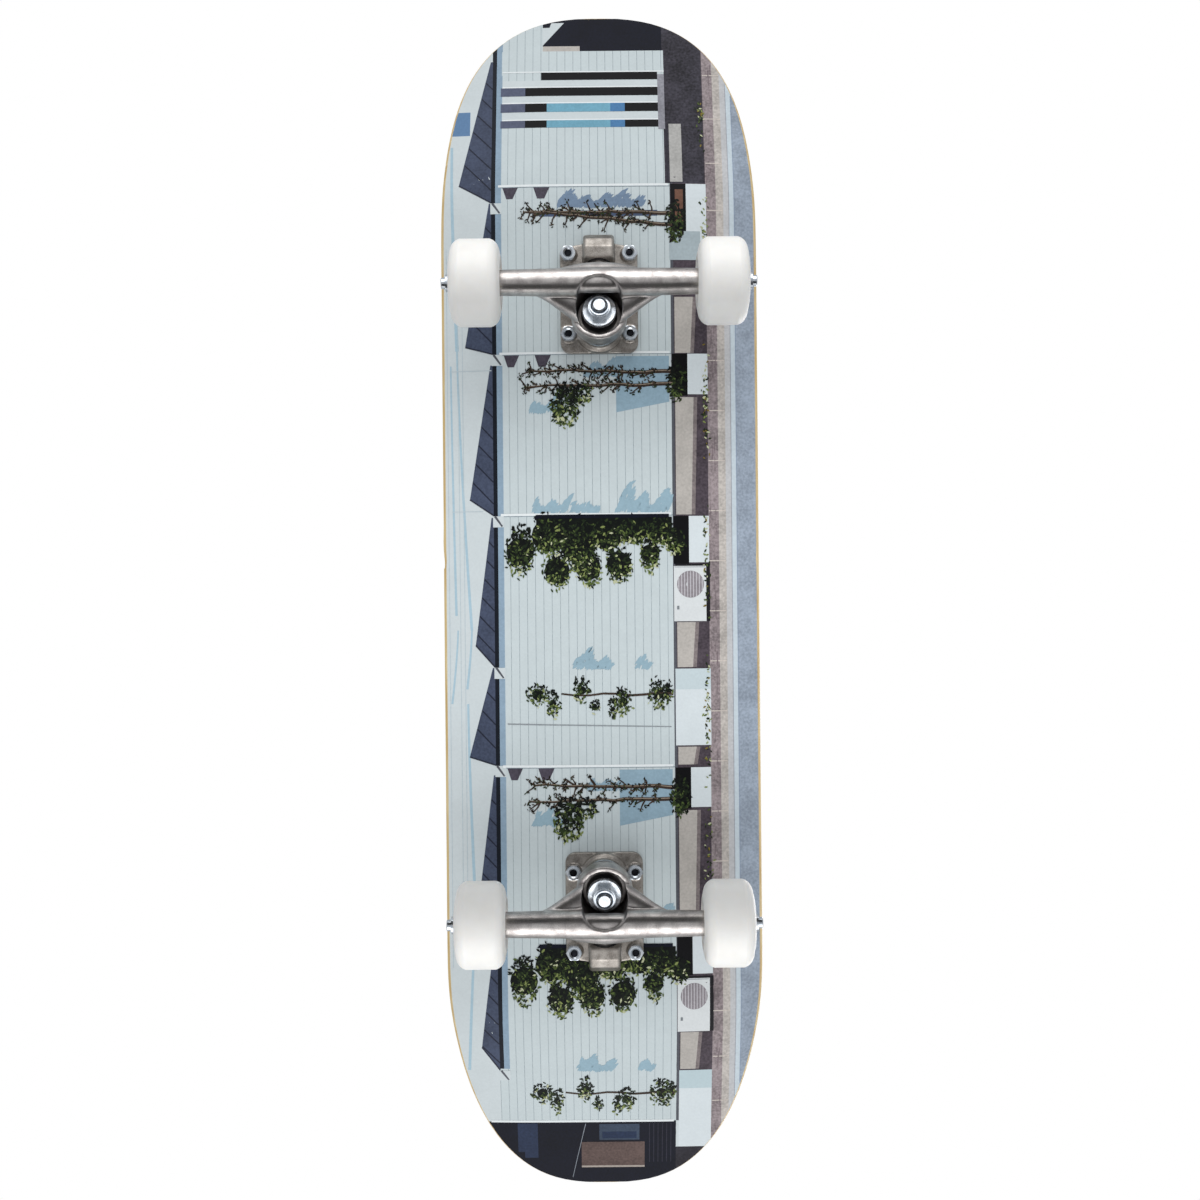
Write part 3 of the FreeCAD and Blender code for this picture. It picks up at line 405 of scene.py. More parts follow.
def turned_piece(name: str, points: list[Point], sides: int) -> bpy.types.Object:
    """Turns a closed outline about +Z into a ring.

    Args:
        name: The new piece's name.
        points: Heights and radii round the ring's section, in metres.
        sides: How many sides the ring has.

    Returns:
        The new piece, at the origin.
    """
    bpy.ops.object.select_all(action="DESELECT")
    height, radius = points[0]
    bpy.ops.mesh.primitive_circle_add(vertices=sides, radius=radius, location=(0.0, 0.0, height))
    piece = bpy.context.object
    piece.name = name
    bpy.ops.object.transform_apply(location=True, rotation=True, scale=True)
    bpy.ops.object.mode_set(mode="EDIT")
    bpy.ops.mesh.select_all(action="SELECT")
    for next_height, next_radius in points[1:]:
        bpy.ops.mesh.extrude_region_move(
            TRANSFORM_OT_translate={"value": (0.0, 0.0, next_height - height)})
        share = next_radius / radius
        bpy.ops.transform.resize(value=(share, share, 1.0), center_override=(0.0, 0.0, next_height))
        height, radius = next_height, next_radius
    bpy.ops.object.mode_set(mode="OBJECT")
    last = len(piece.data.vertices) - sides
    for index, vertex in enumerate(piece.data.vertices):
        vertex.select = index < sides or index >= last
    for edge in piece.data.edges:
        ring = [v < sides for v in edge.vertices], [v >= last for v in edge.vertices]
        edge.select = all(ring[0]) or all(ring[1])
    bpy.ops.object.mode_set(mode="EDIT")
    bpy.ops.mesh.bridge_edge_loops()
    bpy.ops.mesh.select_all(action="SELECT")
    bpy.ops.mesh.normals_make_consistent(inside=False)
    bpy.ops.object.mode_set(mode="OBJECT")
    pick(piece)
    bpy.ops.object.shade_smooth_by_angle(angle=math.radians(40))
    return piece


def dress(piece: bpy.types.Object, finish: Finish) -> None:
    """Gives a piece or a CAD node one finish in place of what it had."""
    piece.data.materials.clear()
    piece.data.materials.append(finish.material())


@dataclass
class Report:
    """Tells what each sub-assembly made."""

    count: int = 0

    def piece(self, piece: bpy.types.Object) -> None:
        """Logs one finished piece."""
        self.count += 1
        LOG.info("%s: %d faces", piece.name, len(piece.data.polygons))


REPORT = Report()


# ---- Castings ----
@dataclass
class Casting:
    """A cast part whose edges are softened, as a sand casting's are."""

    node: str
    finish: Finish
    body: str
    slot: str
    voxel_mm: float = 0.62
    softening: int = 7

    def build(self) -> bpy.types.Object:
        """Builds the casting from its CAD node.

        Returns:
            The finished piece.
        """
        piece = merged_copy(self.node, f"{self.node}_casting")
        apply_modifier(piece, "REMESH", mode="VOXEL", voxel_size=self.voxel_mm * MM, adaptivity=0.0)
        apply_modifier(piece, "SMOOTH", factor=0.5, iterations=self.softening)
        pick(piece)
        bpy.ops.object.shade_smooth()
        dress(piece, self.finish)
        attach(piece, self.body)
        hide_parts(self.node)
        REPORT.piece(piece)
        return piece


# ---- Turned bushings ----
class BushingKind(Enum):
    """The two shapes of a truck's bushings."""

    BARREL = "boardside"
    CONE = "roadside"


@dataclass
class Bushing:
    """Urethane bushing on the kingpin, between the deck and its hanger."""

    end: str
    kind: BushingKind
    base_mm: float = 24.5
    lean_deg: float = 10.0
    rounding: float = 0.05
    sides: int = 72

    def axis(self) -> tuple[Vector, Vector]:
        """Returns where the kingpin leaves the deck and its unit direction towards the ground."""
        turn = 1 if self.end == "front" else -1
        low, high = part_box(f"{self.end}_mounting_nuts")
        lean = math.radians(self.lean_deg)
        base = Vector((0.0, (low.y + high.y) / 2 - turn * self.base_mm * MM, UNDERSIDE))
        return base, Vector((0.0, turn * math.sin(lean), -math.cos(lean)))

    def outline(self, bore: float, wide: float, height: float) -> list[Point]:
        """Gives the ring's section as points all the way round.

        Args:
            bore: Radius of the hole.
            wide: Largest radius.
            height: Height along the kingpin.

        Returns:
            Points of height and radius.
        """
        edge = self.rounding * wide
        if self.kind is BushingKind.BARREL:
            end = wide * 0.94
            steps = 10
            side = [(height * (0.06 + 0.88 * i / steps),
                     end + (wide - end) * math.sin(math.pi * i / steps)) for i in range(steps + 1)]
        else:
            narrow = wide * 0.835
            side = [(edge, wide), (height * 0.22, wide), (height * 0.27, wide * 0.985),
                    (height * 0.84, narrow * 1.01), (height * 0.9, narrow), (height - edge / 2, narrow)]
        first, last = side[0][1], side[-1][1]
        return [(edge * 0.2, bore), (0.0, bore + edge), (0.0, first - edge),
                (edge * 0.3, first - edge * 0.3), *side,
                (height - edge * 0.15, last - edge * 0.4), (height, last - edge),
                (height, bore + edge), (height - edge * 0.2, bore)]

    def build(self) -> bpy.types.Object:
        """Turns the outline round the kingpin and sets the bushing in place.

        Returns:
            The finished piece.
        """
        node = f"{self.end}_{self.kind.value}_bushing"
        base, along = self.axis()
        offsets = [vertex.co - base for vertex in NODES[node].data.vertices]
        heights = [offset.dot(along) for offset in offsets]
        radii = [(offset - along * height).length for offset, height in zip(offsets, heights)]
        start, end = min(heights), max(heights)
        points = self.outline(min(radii), max(radii), end - start)
        piece = turned_piece(f"{node}_turned", points, self.sides)
        turn = Vector((0.0, 0.0, 1.0)).rotation_difference(along).to_matrix().to_4x4()
        piece.data.transform(Matrix.Translation(base + along * start) @ turn)
        dress(piece, BUSHING_URETHANE)
        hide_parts(node)
        if self.kind is BushingKind.BARREL:
            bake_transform(piece)
        else:
            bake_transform(piece)
        REPORT.piece(piece)
        return piece


# ---- Wood, tape and metal that keep their CAD shapes ----
@dataclass
class CadFinishes:
    """Gives every CAD node that stays its finish."""

    deck: dict[str, Finish] = field(default_factory=lambda: {
        "bottom_face_ply": MAPLE_FACE, "dyed_core_ply": MAPLE_DYED, "lower_crossband_ply": MAPLE_CORE,
        "centre_core_ply": MAPLE_FACE, "upper_crossband_ply": MAPLE_CORE, "upper_core_ply": MAPLE_DYED,
        "top_face_ply": MAPLE_FACE, "grip_tape": GRIP})
    truck: dict[str, Finish] = field(default_factory=lambda: {
        "mounting_bolts": BLACK_STEEL, "mounting_nuts": ZINC_STEEL, "nut_inserts": NYLON,
        "baseplate": DULL_SHADED_ALUMINIUM, "pivot_cup": PIVOT_URETHANE, "kingpin": ZINC_STEEL,
        "kingpin_nut": ZINC_STEEL, "boardside_bushing": BUSHING_URETHANE,
        "roadside_bushing": BUSHING_URETHANE, "boardside_cup_washer": ZINC_STEEL,
        "roadside_cup_washer": ZINC_STEEL, "hanger": CAST_ALUMINIUM, "axle": ZINC_STEEL,
        "inner_races": BEARING_STEEL, "axle_nuts": ZINC_STEEL, "axle_nut_inserts": NYLON,
        "speed_washers": ZINC_STEEL, "bearing_spacers": BEARING_STEEL})
    wheel: dict[str, Finish] = field(default_factory=lambda: {
        "wheel": WHEEL_URETHANE, "outer_races": BEARING_STEEL, "bearing_shields": SHIELD,
        "ball_sets": BEARING_STEEL})

    def apply(self) -> None:
        """Dresses all the CAD nodes."""
        for name, finish in self.deck.items():
            dress(NODES[name], finish)
        for end in ENDS:
            for name, finish in self.truck.items():
                dress(NODES[f"{end}_{name}"], finish)
            for side in SIDES:
                for name, finish in self.wheel.items():
                    dress(NODES[f"{end}_{side}_{name}"], finish)


# ---- Printed underside ----
# The print is laid out in millimetres: "across" from the board's centre line, with the sky on the
# negative side (+X) and the road on the positive side, and "along" towards the nose.
@dataclass
class Tone:
    """One printed colour: how strongly it is mottled and how clearly the wall joints show."""

    code: str
    grain: float = 0.05
    joints: float = 0.0


SKY = Tone("#c9d1d3", 0.03)
WALL = Tone("#c4ced0", 0.03, 1.0)
SLATE = Tone("#424a5e", 0.22)
GUTTER = Tone("#141922", 0.2)
FASCIA = Tone("#8ba1b3", 0.08)
LINE = Tone("#54565d", 0.1)
CONCRETE = Tone("#35333b", 0.62)
PAVEMENT = Tone("#8d8284", 0.4)
PALE_PAVEMENT = Tone("#b7b1ab", 0.25)
KERB = Tone("#bdbec0", 0.1)
STRIPE = Tone("#c3cfd6", 0.06)
ROAD = Tone("#95a0ae", 0.22)
NAVY = Tone("#0a0d1c", 0.3)
BLACK = Tone("#07070b", 0.3)
TRIM = Tone("#e3e8e9", 0.03)
BEIGE = Tone("#b3aea8", 0.12)
SOIL = Tone("#484047", 0.4)
PANEL = Tone("#d3dbde", 0.03)
SHADE = Tone("#8fa9b8", 0.08)
LEAF_SHADE = Tone("#93aebb", 0.06)
BARK = Tone("#3c3029", 0.3)
WINDOW = Tone("#6fa3b8", 0.1)
LEAVES = [Tone("#0a0f0d", 0.2), Tone("#10160f", 0.2), Tone("#1c2716", 0.2), Tone("#2e3b1e", 0.2),
          Tone("#4d5c2f", 0.2), Tone("#7d8850", 0.2), Tone("#b9bd9a", 0.1)]
TWIGS = [Tone("#17130f", 0.2), Tone("#2b231d", 0.2), Tone("#463a2c", 0.2), Tone("#2d3a20", 0.2)]


@dataclass
class Underside:
    """A surface felt from below: the deck's lower face, or the print on it."""

    tree: BVHTree
    steep: float = 0.85
    widest: float = 0.12
    halvings: int = 14
    inboard: Point = (0.96, 0.995)

    @classmethod
    def of(cls, piece: bpy.types.Object) -> "Underside":
        """Makes the surface from a piece's mesh."""
        mesh = piece.data
        return cls(BVHTree.FromPolygons([v.co.copy() for v in mesh.vertices],
                                        [tuple(p.vertices) for p in mesh.polygons]))

    def touch(self, x: float, y: float) -> float | None:
        """Gives the height of the surface at a place.

        Args:
            x: Place across the board, in metres.
            y: Place along the board, in metres.

        Returns:
            The height, or None off the flat face.
        """
        place, normal, _, _ = self.tree.ray_cast(Vector((x, y, -1.0)), Vector((0.0, 0.0, 1.0)))
        return place.z if place is not None and abs(normal.z) > self.steep else None

    def height(self, x: float, y: float) -> float:
        """Gives the height at a place, or that of the nearest surface where there is a hole."""
        touched = self.touch(x, y)
        if touched is not None:
            return touched
        inboard = self.touch(self.inboard[0] * x, self.inboard[1] * y)
        start = UNDERSIDE if inboard is None else inboard
        return self.tree.find_nearest(Vector((x, y, start)))[0].z

    def reach(self, y: float) -> float:
        """Gives the half width of the flat face at a place along the board."""
        low, high = 0.0, self.widest
        for _ in range(self.halvings):
            middle = (low + high) / 2
            low, high = (low, middle) if self.touch(middle, y) is None else (middle, high)
        return low


def set_tones(mesh: bpy.types.Mesh, tones: list[Tone]) -> None:
    """Writes each face's printed colour into the mesh.

    Args:
        mesh: The mesh.
        tones: One tone for each face.
    """
    inks: list[float] = []
    shares: list[float] = []
    for polygon, tone in zip(mesh.polygons, tones):
        colour = [*linear(tone.code)[:3], tone.grain]
        inks += colour * polygon.loop_total
        shares += [tone.joints] * polygon.loop_total
    mesh.attributes.new(INK, "FLOAT_COLOR", "CORNER")
    mesh.attributes.new(JOINTS, "FLOAT", "CORNER")
    mesh.attributes[INK].data.foreach_set("color", inks)
    mesh.attributes[JOINTS].data.foreach_set("value", shares)


@dataclass
class Band:
    """Rectangle of the print's ground: its sides in millimetres and its tone."""

    start: float
    stop: float
    low: float
    high: float
    tone: Tone


@dataclass
class Film:
    """The print's ground: one film over the whole flat underside, cut where its colours change."""

    columns: int = 44
    rows: int = 236
    proud_mm: float = 0.2
    sunk_mm: float = 0.05
    edge_mm: float = 0.25
    tip_mm: float = 9.0
    past_sides_mm: float = 110.0
    past_ends_mm: float = 412.0
    bands: list[Band] = field(default_factory=lambda: [
        Band(-38.0, 45.5, 390.0, 420.0, NAVY), Band(-12.0, 45.5, 386.0, 390.0, NAVY),
        Band(-38.0, -12.0, 386.0, 390.0, BEIGE), Band(-66.5, 46.5, 367.0, 386.0, WALL),
        Band(45.5, 72.5, 283.0, 420.0, CONCRETE), Band(-115.0, -88.0, 321.0, 339.0, Tone("#5f7fa3", 0.06)),
        Band(-115.0, 48.5, -420.0, -363.0, NAVY), Band(48.5, 115.0, -420.0, -384.0, Tone("#2c2a31", 0.3)),
        Band(50.4, 73.0, -338.0, -324.0, Tone("#b9cacf", 0.03)), Band(50.4, 73.0, -384.0, -338.0, PANEL),
        Band(-115.0, -73.0, -363.0, 420.0, SKY), Band(-73.0, -70.0, -322.0, 395.0, GUTTER),
        Band(-70.0, -66.0, -322.0, 395.0, FASCIA), Band(-73.0, -66.0, -363.0, 420.0, WALL),
        Band(-66.0, 48.5, -363.0, 420.0, WALL), Band(48.5, 50.4, -363.0, 420.0, LINE),
        Band(50.4, 73.0, -420.0, 420.0, SOIL), Band(73.0, 80.0, -420.0, 420.0, PAVEMENT),
        Band(80.0, 85.0, -420.0, 420.0, PALE_PAVEMENT), Band(85.0, 89.0, -420.0, 420.0, KERB),
        Band(89.0, 92.5, -420.0, 420.0, STRIPE), Band(92.5, 115.0, -420.0, 420.0, ROAD)])

    def tone_at(self, across: float, along: float) -> Tone:
        """Gives the ground's tone at a place."""
        for band in self.bands:
            if band.start <= across < band.stop and band.low <= along < band.high:
                return band.tone
        return SKY

    def ends(self, deck: Underside) -> tuple[float, float]:
        """Gives where the film starts and stops along the board."""
        low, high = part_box("bottom_face_ply")
        start, stop, step = low.y, high.y, 0.2 * MM
        while deck.reach(start) < self.tip_mm * MM:
            start += step
        while deck.reach(stop) < self.tip_mm * MM:
            stop -= step
        return start, stop

    def build(self) -> bpy.types.Object:
        """Builds the film against the deck's lower face.

        Returns:
            The finished piece.
        """
        deck = Underside.of(NODES["bottom_face_ply"])
        start, stop = self.ends(deck)
        bpy.ops.object.select_all(action="DESELECT")
        bpy.ops.mesh.primitive_grid_add(x_subdivisions=self.columns, y_subdivisions=self.rows, size=2.0)
        piece = bpy.context.object
        piece.name = "street_print"
        rows: dict[float, tuple[float, float]] = {}
        for vertex in piece.data.vertices:
            row = round(vertex.co.y, 5)
            if row not in rows:
                y = (start + stop) / 2 + (stop - start) / 2 * math.sin(math.pi / 2 * vertex.co.y)
                rows[row] = y, deck.reach(y) - self.edge_mm * MM
            y, reach = rows[row]
            x = -vertex.co.x * reach
            vertex.co = x, y, deck.height(x, y) - self.proud_mm * MM
        self.cut(piece)
        set_tones(piece.data, [self.tone_at(-face.center.x / MM, face.center.y / MM)
                               for face in piece.data.polygons])
        apply_modifier(piece, "SOLIDIFY", thickness=(self.proud_mm + self.sunk_mm) * MM, offset=-1.0)
        dress(piece, INKED)
        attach(piece, "deck")
        REPORT.piece(piece)
        return piece

    def cut(self, piece: bpy.types.Object) -> None:
        """Cuts the film along every side of its bands."""
        sides = {side for band in self.bands for side in (band.start, band.stop)
                 if abs(side) < self.past_sides_mm}
        ends = {end for band in self.bands for end in (band.low, band.high)
                if abs(end) < self.past_ends_mm}
        pick(piece)
        bpy.ops.object.mode_set(mode="EDIT")
        for place, normal in [((-side * MM, 0, 0), (1, 0, 0)) for side in sorted(sides)] + \
                [((0, end * MM, 0), (0, 1, 0)) for end in sorted(ends)]:
            bpy.ops.mesh.select_all(action="SELECT")
            bpy.ops.mesh.bisect(plane_co=place, plane_no=normal)
        bpy.ops.object.mode_set(mode="OBJECT")


@dataclass
class Stencil:
    """Printed shapes waiting to be pressed onto the film, each a small flat polygon."""

    name: str
    seed: int
    step_mm: float = 0.07
    cell_mm: float = 5.0
    # Each leaf and each later shape is lifted by a share of a layer, so that shapes that overlap
    # don't lie in one plane.
    leaf_spread: float = 0.6
    leaf_turn: float = 0.618
    order_spread: float = 0.3
    shapes: list[tuple[list[Point], Tone, float]] = field(default_factory=list)

    def __post_init__(self) -> None:
        """Starts the stencil's own random numbers."""
        self.chance = random.Random(self.seed)

    def patch(self, corners: list[Point], tone: Tone, level: float = 1.0) -> None:
        """Adds a four-cornered patch, split into cells that follow the board's bends.

        Args:
            corners: The corners in order.
            tone: The patch's tone.
            level: How many layers of ink are under it.
        """
        a, b, c, d = corners
        across = max(1, math.ceil(max(math.dist(a, b), math.dist(d, c)) / self.cell_mm))
        along = max(1, math.ceil(max(math.dist(a, d), math.dist(b, c)) / self.cell_mm))

        def place(i: int, j: int) -> Point:
            """Gives a grid point of the patch."""
            u, v = i / across, j / along
            low = (a[0] + (b[0] - a[0]) * u, a[1] + (b[1] - a[1]) * u)
            high = (d[0] + (c[0] - d[0]) * u, d[1] + (c[1] - d[1]) * u)
            return low[0] + (high[0] - low[0]) * v, low[1] + (high[1] - low[1]) * v

        for i in range(across):
            for j in range(along):
                cell = [place(i, j), place(i + 1, j), place(i + 1, j + 1), place(i, j + 1)]
                self.shapes.append((cell, tone, level))

    def box(self, start: float, stop: float, low: float, high: float, tone: Tone,
            level: float = 1.0) -> None:
        """Adds a rectangle."""
        self.patch([(start, low), (stop, low), (stop, high), (start, high)], tone, level)

    def boxes(self, *rows: tuple[float, float, float, float, Tone, float]) -> None:
        """Adds rectangles in order, each from its sides, tone and level."""
        for row in rows:
            self.box(*row)

    def stroke(self, points: list[Point], widths: Point, tone: Tone, level: float = 2.0) -> None:
        """Adds a line through points.

        Args:
            points: The line's points.
            widths: Its width at the start and at the end.
            tone: The line's tone.
            level: How many layers of ink are under it.
        """
        total = len(points) - 1
        for index, (here, there) in enumerate(zip(points, points[1:])):
            length = math.dist(here, there)
            side = (-(there[1] - here[1]) / length / 2, (there[0] - here[0]) / length / 2)
            near, far = (widths[0] + (widths[1] - widths[0]) * (index + k) / total for k in (0, 1))
            self.patch([(here[0] - side[0] * near, here[1] - side[1] * near),
                        (there[0] - side[0] * far, there[1] - side[1] * far),
                        (there[0] + side[0] * far, there[1] + side[1] * far),
                        (here[0] + side[0] * near, here[1] + side[1] * near)], tone, level)

    def leaf(self, centre: Point, length: float, width: float, angle: float, tone: Tone,
             level: float = 4.0) -> None:
        """Adds one pointed leaf."""
        along = math.cos(angle), math.sin(angle)
        outline = ((-0.5, 0.0), (-0.12, -0.5), (0.25, -0.32), (0.5, 0.0), (0.25, 0.34), (-0.12, 0.5))
        spread = self.leaf_spread * (self.leaf_turn * len(self.shapes) % 1.0)
        self.shapes.append(([(centre[0] + along[0] * u * length - along[1] * v * width,
                              centre[1] + along[1] * u * length + along[0] * v * width)
                             for u, v in outline], tone, level + spread))

    def scatter(self, centre: Point, half: Point, count: int, tones: list[Tone], level: float,
                lengths: Point) -> None:
        """Scatters leaves over an oval patch, denser in its middle and lit on its tail side.

        Args:
            centre: The oval's centre.
            half: Its half width and half height.
            count: How many leaves.
            tones: The tones to choose from, the shaded ones first.
            level: How many layers of ink are under the leaves.
            lengths: The shortest and longest leaf.
        """
        chance = self.chance
        for _ in range(count):
            turn = chance.uniform(0, 2 * math.pi)
            out = math.sqrt(chance.random()) * chance.uniform(0.75, 1.05)
            place = (centre[0] + half[0] * out * math.cos(turn), centre[1] + half[1] * out * math.sin(turn))
            length = chance.uniform(*lengths)
            sunny = (0.36 - 0.35 * out * math.sin(turn)) * len(tones)
            shade = min(len(tones) - 1, max(0, int(chance.gauss(sunny, len(tones) * 0.24))))
            angle = chance.uniform(0, 2 * math.pi)
            self.leaf(place, length, length * chance.uniform(0.34, 0.5), angle, tones[shade], level)

    def disc(self, centre: Point, radius: float, tone: Tone, level: float, sides: int = 24) -> None:
        """Adds a disc as rings of small cells."""
        rings = max(1, math.ceil(radius / self.cell_mm))
        for ring in range(rings):
            inner, outer = radius * ring / rings, radius * (ring + 1) / rings
            for i in range(sides):
                turns = [2 * math.pi * (i + k) / sides for k in (0, 1)]
                corners = [(centre[0] + r * math.cos(t), centre[1] + r * math.sin(t))
                           for r, t in ((inner, turns[0]), (outer, turns[0]), (outer, turns[1]),
                                        (inner, turns[1]))]
                self.shapes.append((corners if ring else corners[1:], tone, level))

    def press(self, film: Underside) -> bpy.types.Object:
        """Presses every shape onto the film as one piece.

        Args:
            film: The print's ground.

        Returns:
            The finished piece.
        """
        vertices: list[tuple[float, float, float]] = []
        faces: list[list[int]] = []
        tones: list[Tone] = []
        for order, (corners, tone, level) in enumerate(self.shapes):
            lift = (level + self.order_spread * order / len(self.shapes)) * self.step_mm * MM
            places = [(-across * MM, along * MM) for across, along in corners]
            heights = [film.touch(x, y) for x, y in places]
            if None in heights:
                continue
            spin = sum(x0 * y1 - x1 * y0 for (x0, y0), (x1, y1) in zip(places, places[1:] + places[:1]))
            first = len(vertices)
            vertices += [(x, y, height - lift) for (x, y), height in zip(places, heights)]
            loop = list(range(first, first + len(places)))
            faces.append(loop if spin < 0 else loop[::-1])
            tones.append(tone)
        mesh = bpy.data.meshes.new(self.name)
        mesh.from_pydata(vertices, [], faces)
        piece = bpy.data.objects.new(self.name, mesh)
        bpy.context.scene.collection.objects.link(piece)
        set_tones(mesh, tones)
        apply_modifier(piece, "SOLIDIFY", thickness=0.5 * self.step_mm * MM, offset=-1.0)
        dress(piece, INKED)
        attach(piece, "deck")
        REPORT.piece(piece)
        return piece


class Bay(Enum):
    """What stands between the houses and the pavement along the printed street."""

    BED = "earth with a low wall"
    GATE = "gate post in a dark opening"
    PANEL = "wide pale panel"
    UNIT = "ventilation cabinet"
    YARD = "dark yard with a doorway"


@dataclass
class Street:
    """The generic street on the underside: timber houses, roofs, planting, pavement and road."""

    lines: Stencil = field(default_factory=lambda: Stencil("street_print_lines", 11))
    plants: Stencil = field(default_factory=lambda: Stencil("street_print_plants", 23))
    hedges: Stencil = field(default_factory=lambda: Stencil("street_print_hedges", 29))
    gutter: float = -73.0
    joint_pitch: float = 12.6
    slab_pitch: float = 34.0
    trims: tuple[float, ...] = (282.0, 167.6, 58.2, -112.4)
    # Each roof: where its slice starts, how far out and where its eave is, and where the eave ends.
    roofs: tuple[tuple[float, float, float, float], ...] = (
        (378.0, -95.0, 283.5, 270.5), (270.0, -91.4, 172.6, 167.5), (159.8, -89.0, 68.9, 57.9),
        (56.4, -85.9, -30.2, -44.9), (-45.5, -90.7, -106.0, -111.5), (-118.4, -85.6, -207.0, -222.0),
        (-226.0, -84.8, -306.0, -323.0))
    bays: tuple[tuple[Bay, float, float], ...] = (
        (Bay.YARD, 282.5, 230.0), (Bay.BED, 205.0, 167.0), (Bay.GATE, 166.5, 138.0),
        (Bay.BED, 137.0, 57.5), (Bay.GATE, 56.5, 24.0), (Bay.UNIT, 22.6, -15.0),
        (Bay.BED, -15.5, -46.0), (Bay.PANEL, -47.0, -99.0), (Bay.BED, -100.0, -112.0),
        (Bay.GATE, -114.0, -142.0), (Bay.BED, -143.0, -227.0), (Bay.GATE, -228.0, -255.0),
        (Bay.UNIT, -257.0, -294.0), (Bay.BED, -295.0, -323.0))

    def build(self, film: Underside) -> None:
        """Draws the street and presses it onto the film in three pieces.

        Args:
            film: The print's ground.
        """
        self.draw_sky()
        self.draw_roofs()
        self.draw_walls()
        self.draw_nose_end()
        self.draw_tail_end()
        self.draw_bays()
        self.draw_road()
        for along in (-64.0, -341.0):
            self.draw_shrubs(along)
        for along in (150.0, -131.0):
            self.draw_bare_tree(along, leafy=True)
        self.draw_bare_tree(258.0, leafy=False)
        for along in (58.0, -233.0):
            self.draw_hedge(along)
        for sheet in (self.lines, self.plants, self.hedges):
            sheet.press(film)

    def draw_sky(self) -> None:
        """Draws the slow curves of overhead wires and faint joints beyond the roofs."""
        wire = Tone("#a5bfcc", 0.05)
        for start, far, top, bottom, width in (
                (-100.5, -97.0, 320, 170, 2.4), (-97.0, -88.5, 170, -20, 1.8),
                (-88.5, -92.0, -20, -60, 1.6), (-101.5, -99.0, 160, -10, 1.6),
                (-91.5, -88.0, -70, -200, 2.0), (-88.0, -94.5, -200, -330, 2.0),
                (-98.0, -102.5, -20, -70, 1.4)):
            points = [(start + (far - start) * (i / 20) ** 1.4, top + (bottom - top) * i / 20)
                      for i in range(21)]
            self.lines.stroke(points, (width * 0.7, width), wire, 1.0)
        for across in (-104.0, -96.5, -93.5):
            self.lines.stroke([(across, 240.0), (across + 0.6, -250.0)], (0.35, 0.35),
                              Tone("#b4c2c8", 0.05), 1.5)
        faint = Tone("#b9c5ca", 0.03)
        self.lines.boxes((-106.0, -73.5, 156.0, 156.6, faint, 1.4), (-106.0, -80.0, 60.5, 61.0, faint, 1.4))

    def draw_roofs(self) -> None:
        """Draws each roof slice with its seams and the pale gable under its eave."""
        edge = self.gutter + 0.2
        inner = edge - 1.5
        for top, outer, eave, end in self.roofs:
            self.lines.patch([(inner, top), (outer, eave), (edge, end), (edge, top)], SLATE, 1.0)
            along = top - self.joint_pitch * 1.3
            while along > end + 4.0:
                share = (top - along) / (top - eave)
                if along > eave:
                    left = inner + (outer - inner) * share
                    right = along - 1.02 * (edge - left)
                    if right > end:
                        self.lines.stroke([(left + 0.3, along), (edge, right)], (0.9, 0.9),
                                          Tone("#252937", 0.1), 2.0)
                along -= self.joint_pitch
            self.lines.stroke([(outer, eave), (edge, end)], (1.0, 1.0), Tone("#2b2f3d", 0.1), 2.2)
            self.lines.box(self.gutter - 0.3, -65.6, end - 8.0, end - 0.5, SKY, 2.0)
            self.lines.stroke([(-72.0, end - 0.5), (-67.0, end - 7.5)], (1.6, 1.1), LINE, 2.4)

    def draw_walls(self) -> None:
        """Draws the trims between houses, the brackets under the eaves and the shadows on the walls."""
        for along in self.trims:
            self.lines.box(-68.0, 47.5, along - 0.8, along + 0.8, TRIM, 2.0)
            self.lines.box(-66.0, 48.5, along - 1.3, along - 0.8, Tone("#87949c", 0.1), 2.0)
        for along in (282.0, 167.6, -112.4):
            top = along - 1.3
            for start, stop in ((-65.0, -54.5), (-44.0, -33.0)):
                self.lines.patch([(start + 2.6, top - 8.0), (stop - 3.6, top - 8.0), (stop, top),
                                  (start, top)], Tone("#4a4550", 0.25), 2.0)
        self.lines.stroke([(-64.5, -83.6), (46.5, -86.2)], (0.9, 0.7), Tone("#8d9397", 0.1), 2.0)
        for high in (165.0, -115.0):
            self.lines.patch([(11.0, high - 38.0), (47.0, high - 31.0), (47.0, high), (11.0, high)],
                             SHADE, 1.0)
            self.draw_shadow(-11.0, 15.0, high - 14.0, 14.0, SHADE)
            self.draw_shadow(-48.0, -29.0, high - 38.0, 15.0)
        self.draw_shadow(-28.0, 30.0, 266.0, 14.0, Tone("#74889f", 0.1))
        self.lines.box(-40.0, 40.0, 260.0, 264.0, Tone("#4d5b75", 0.15), 1.2)
        for start, stop, base, height in (
                (-47.0, -24.0, 59.0, 15.0), (-21.0, -2.0, 59.0, 10.0), (10.0, 45.0, 59.0, 22.0),
                (-20.0, 5.0, -47.0, 16.0), (22.0, 32.0, -47.0, 12.0), (-20.0, 5.0, -324.0, 16.0),
                (22.0, 32.0, -324.0, 12.0), (14.0, 45.0, -218.0, 14.0)):
            self.draw_shadow(start, stop, base, height)

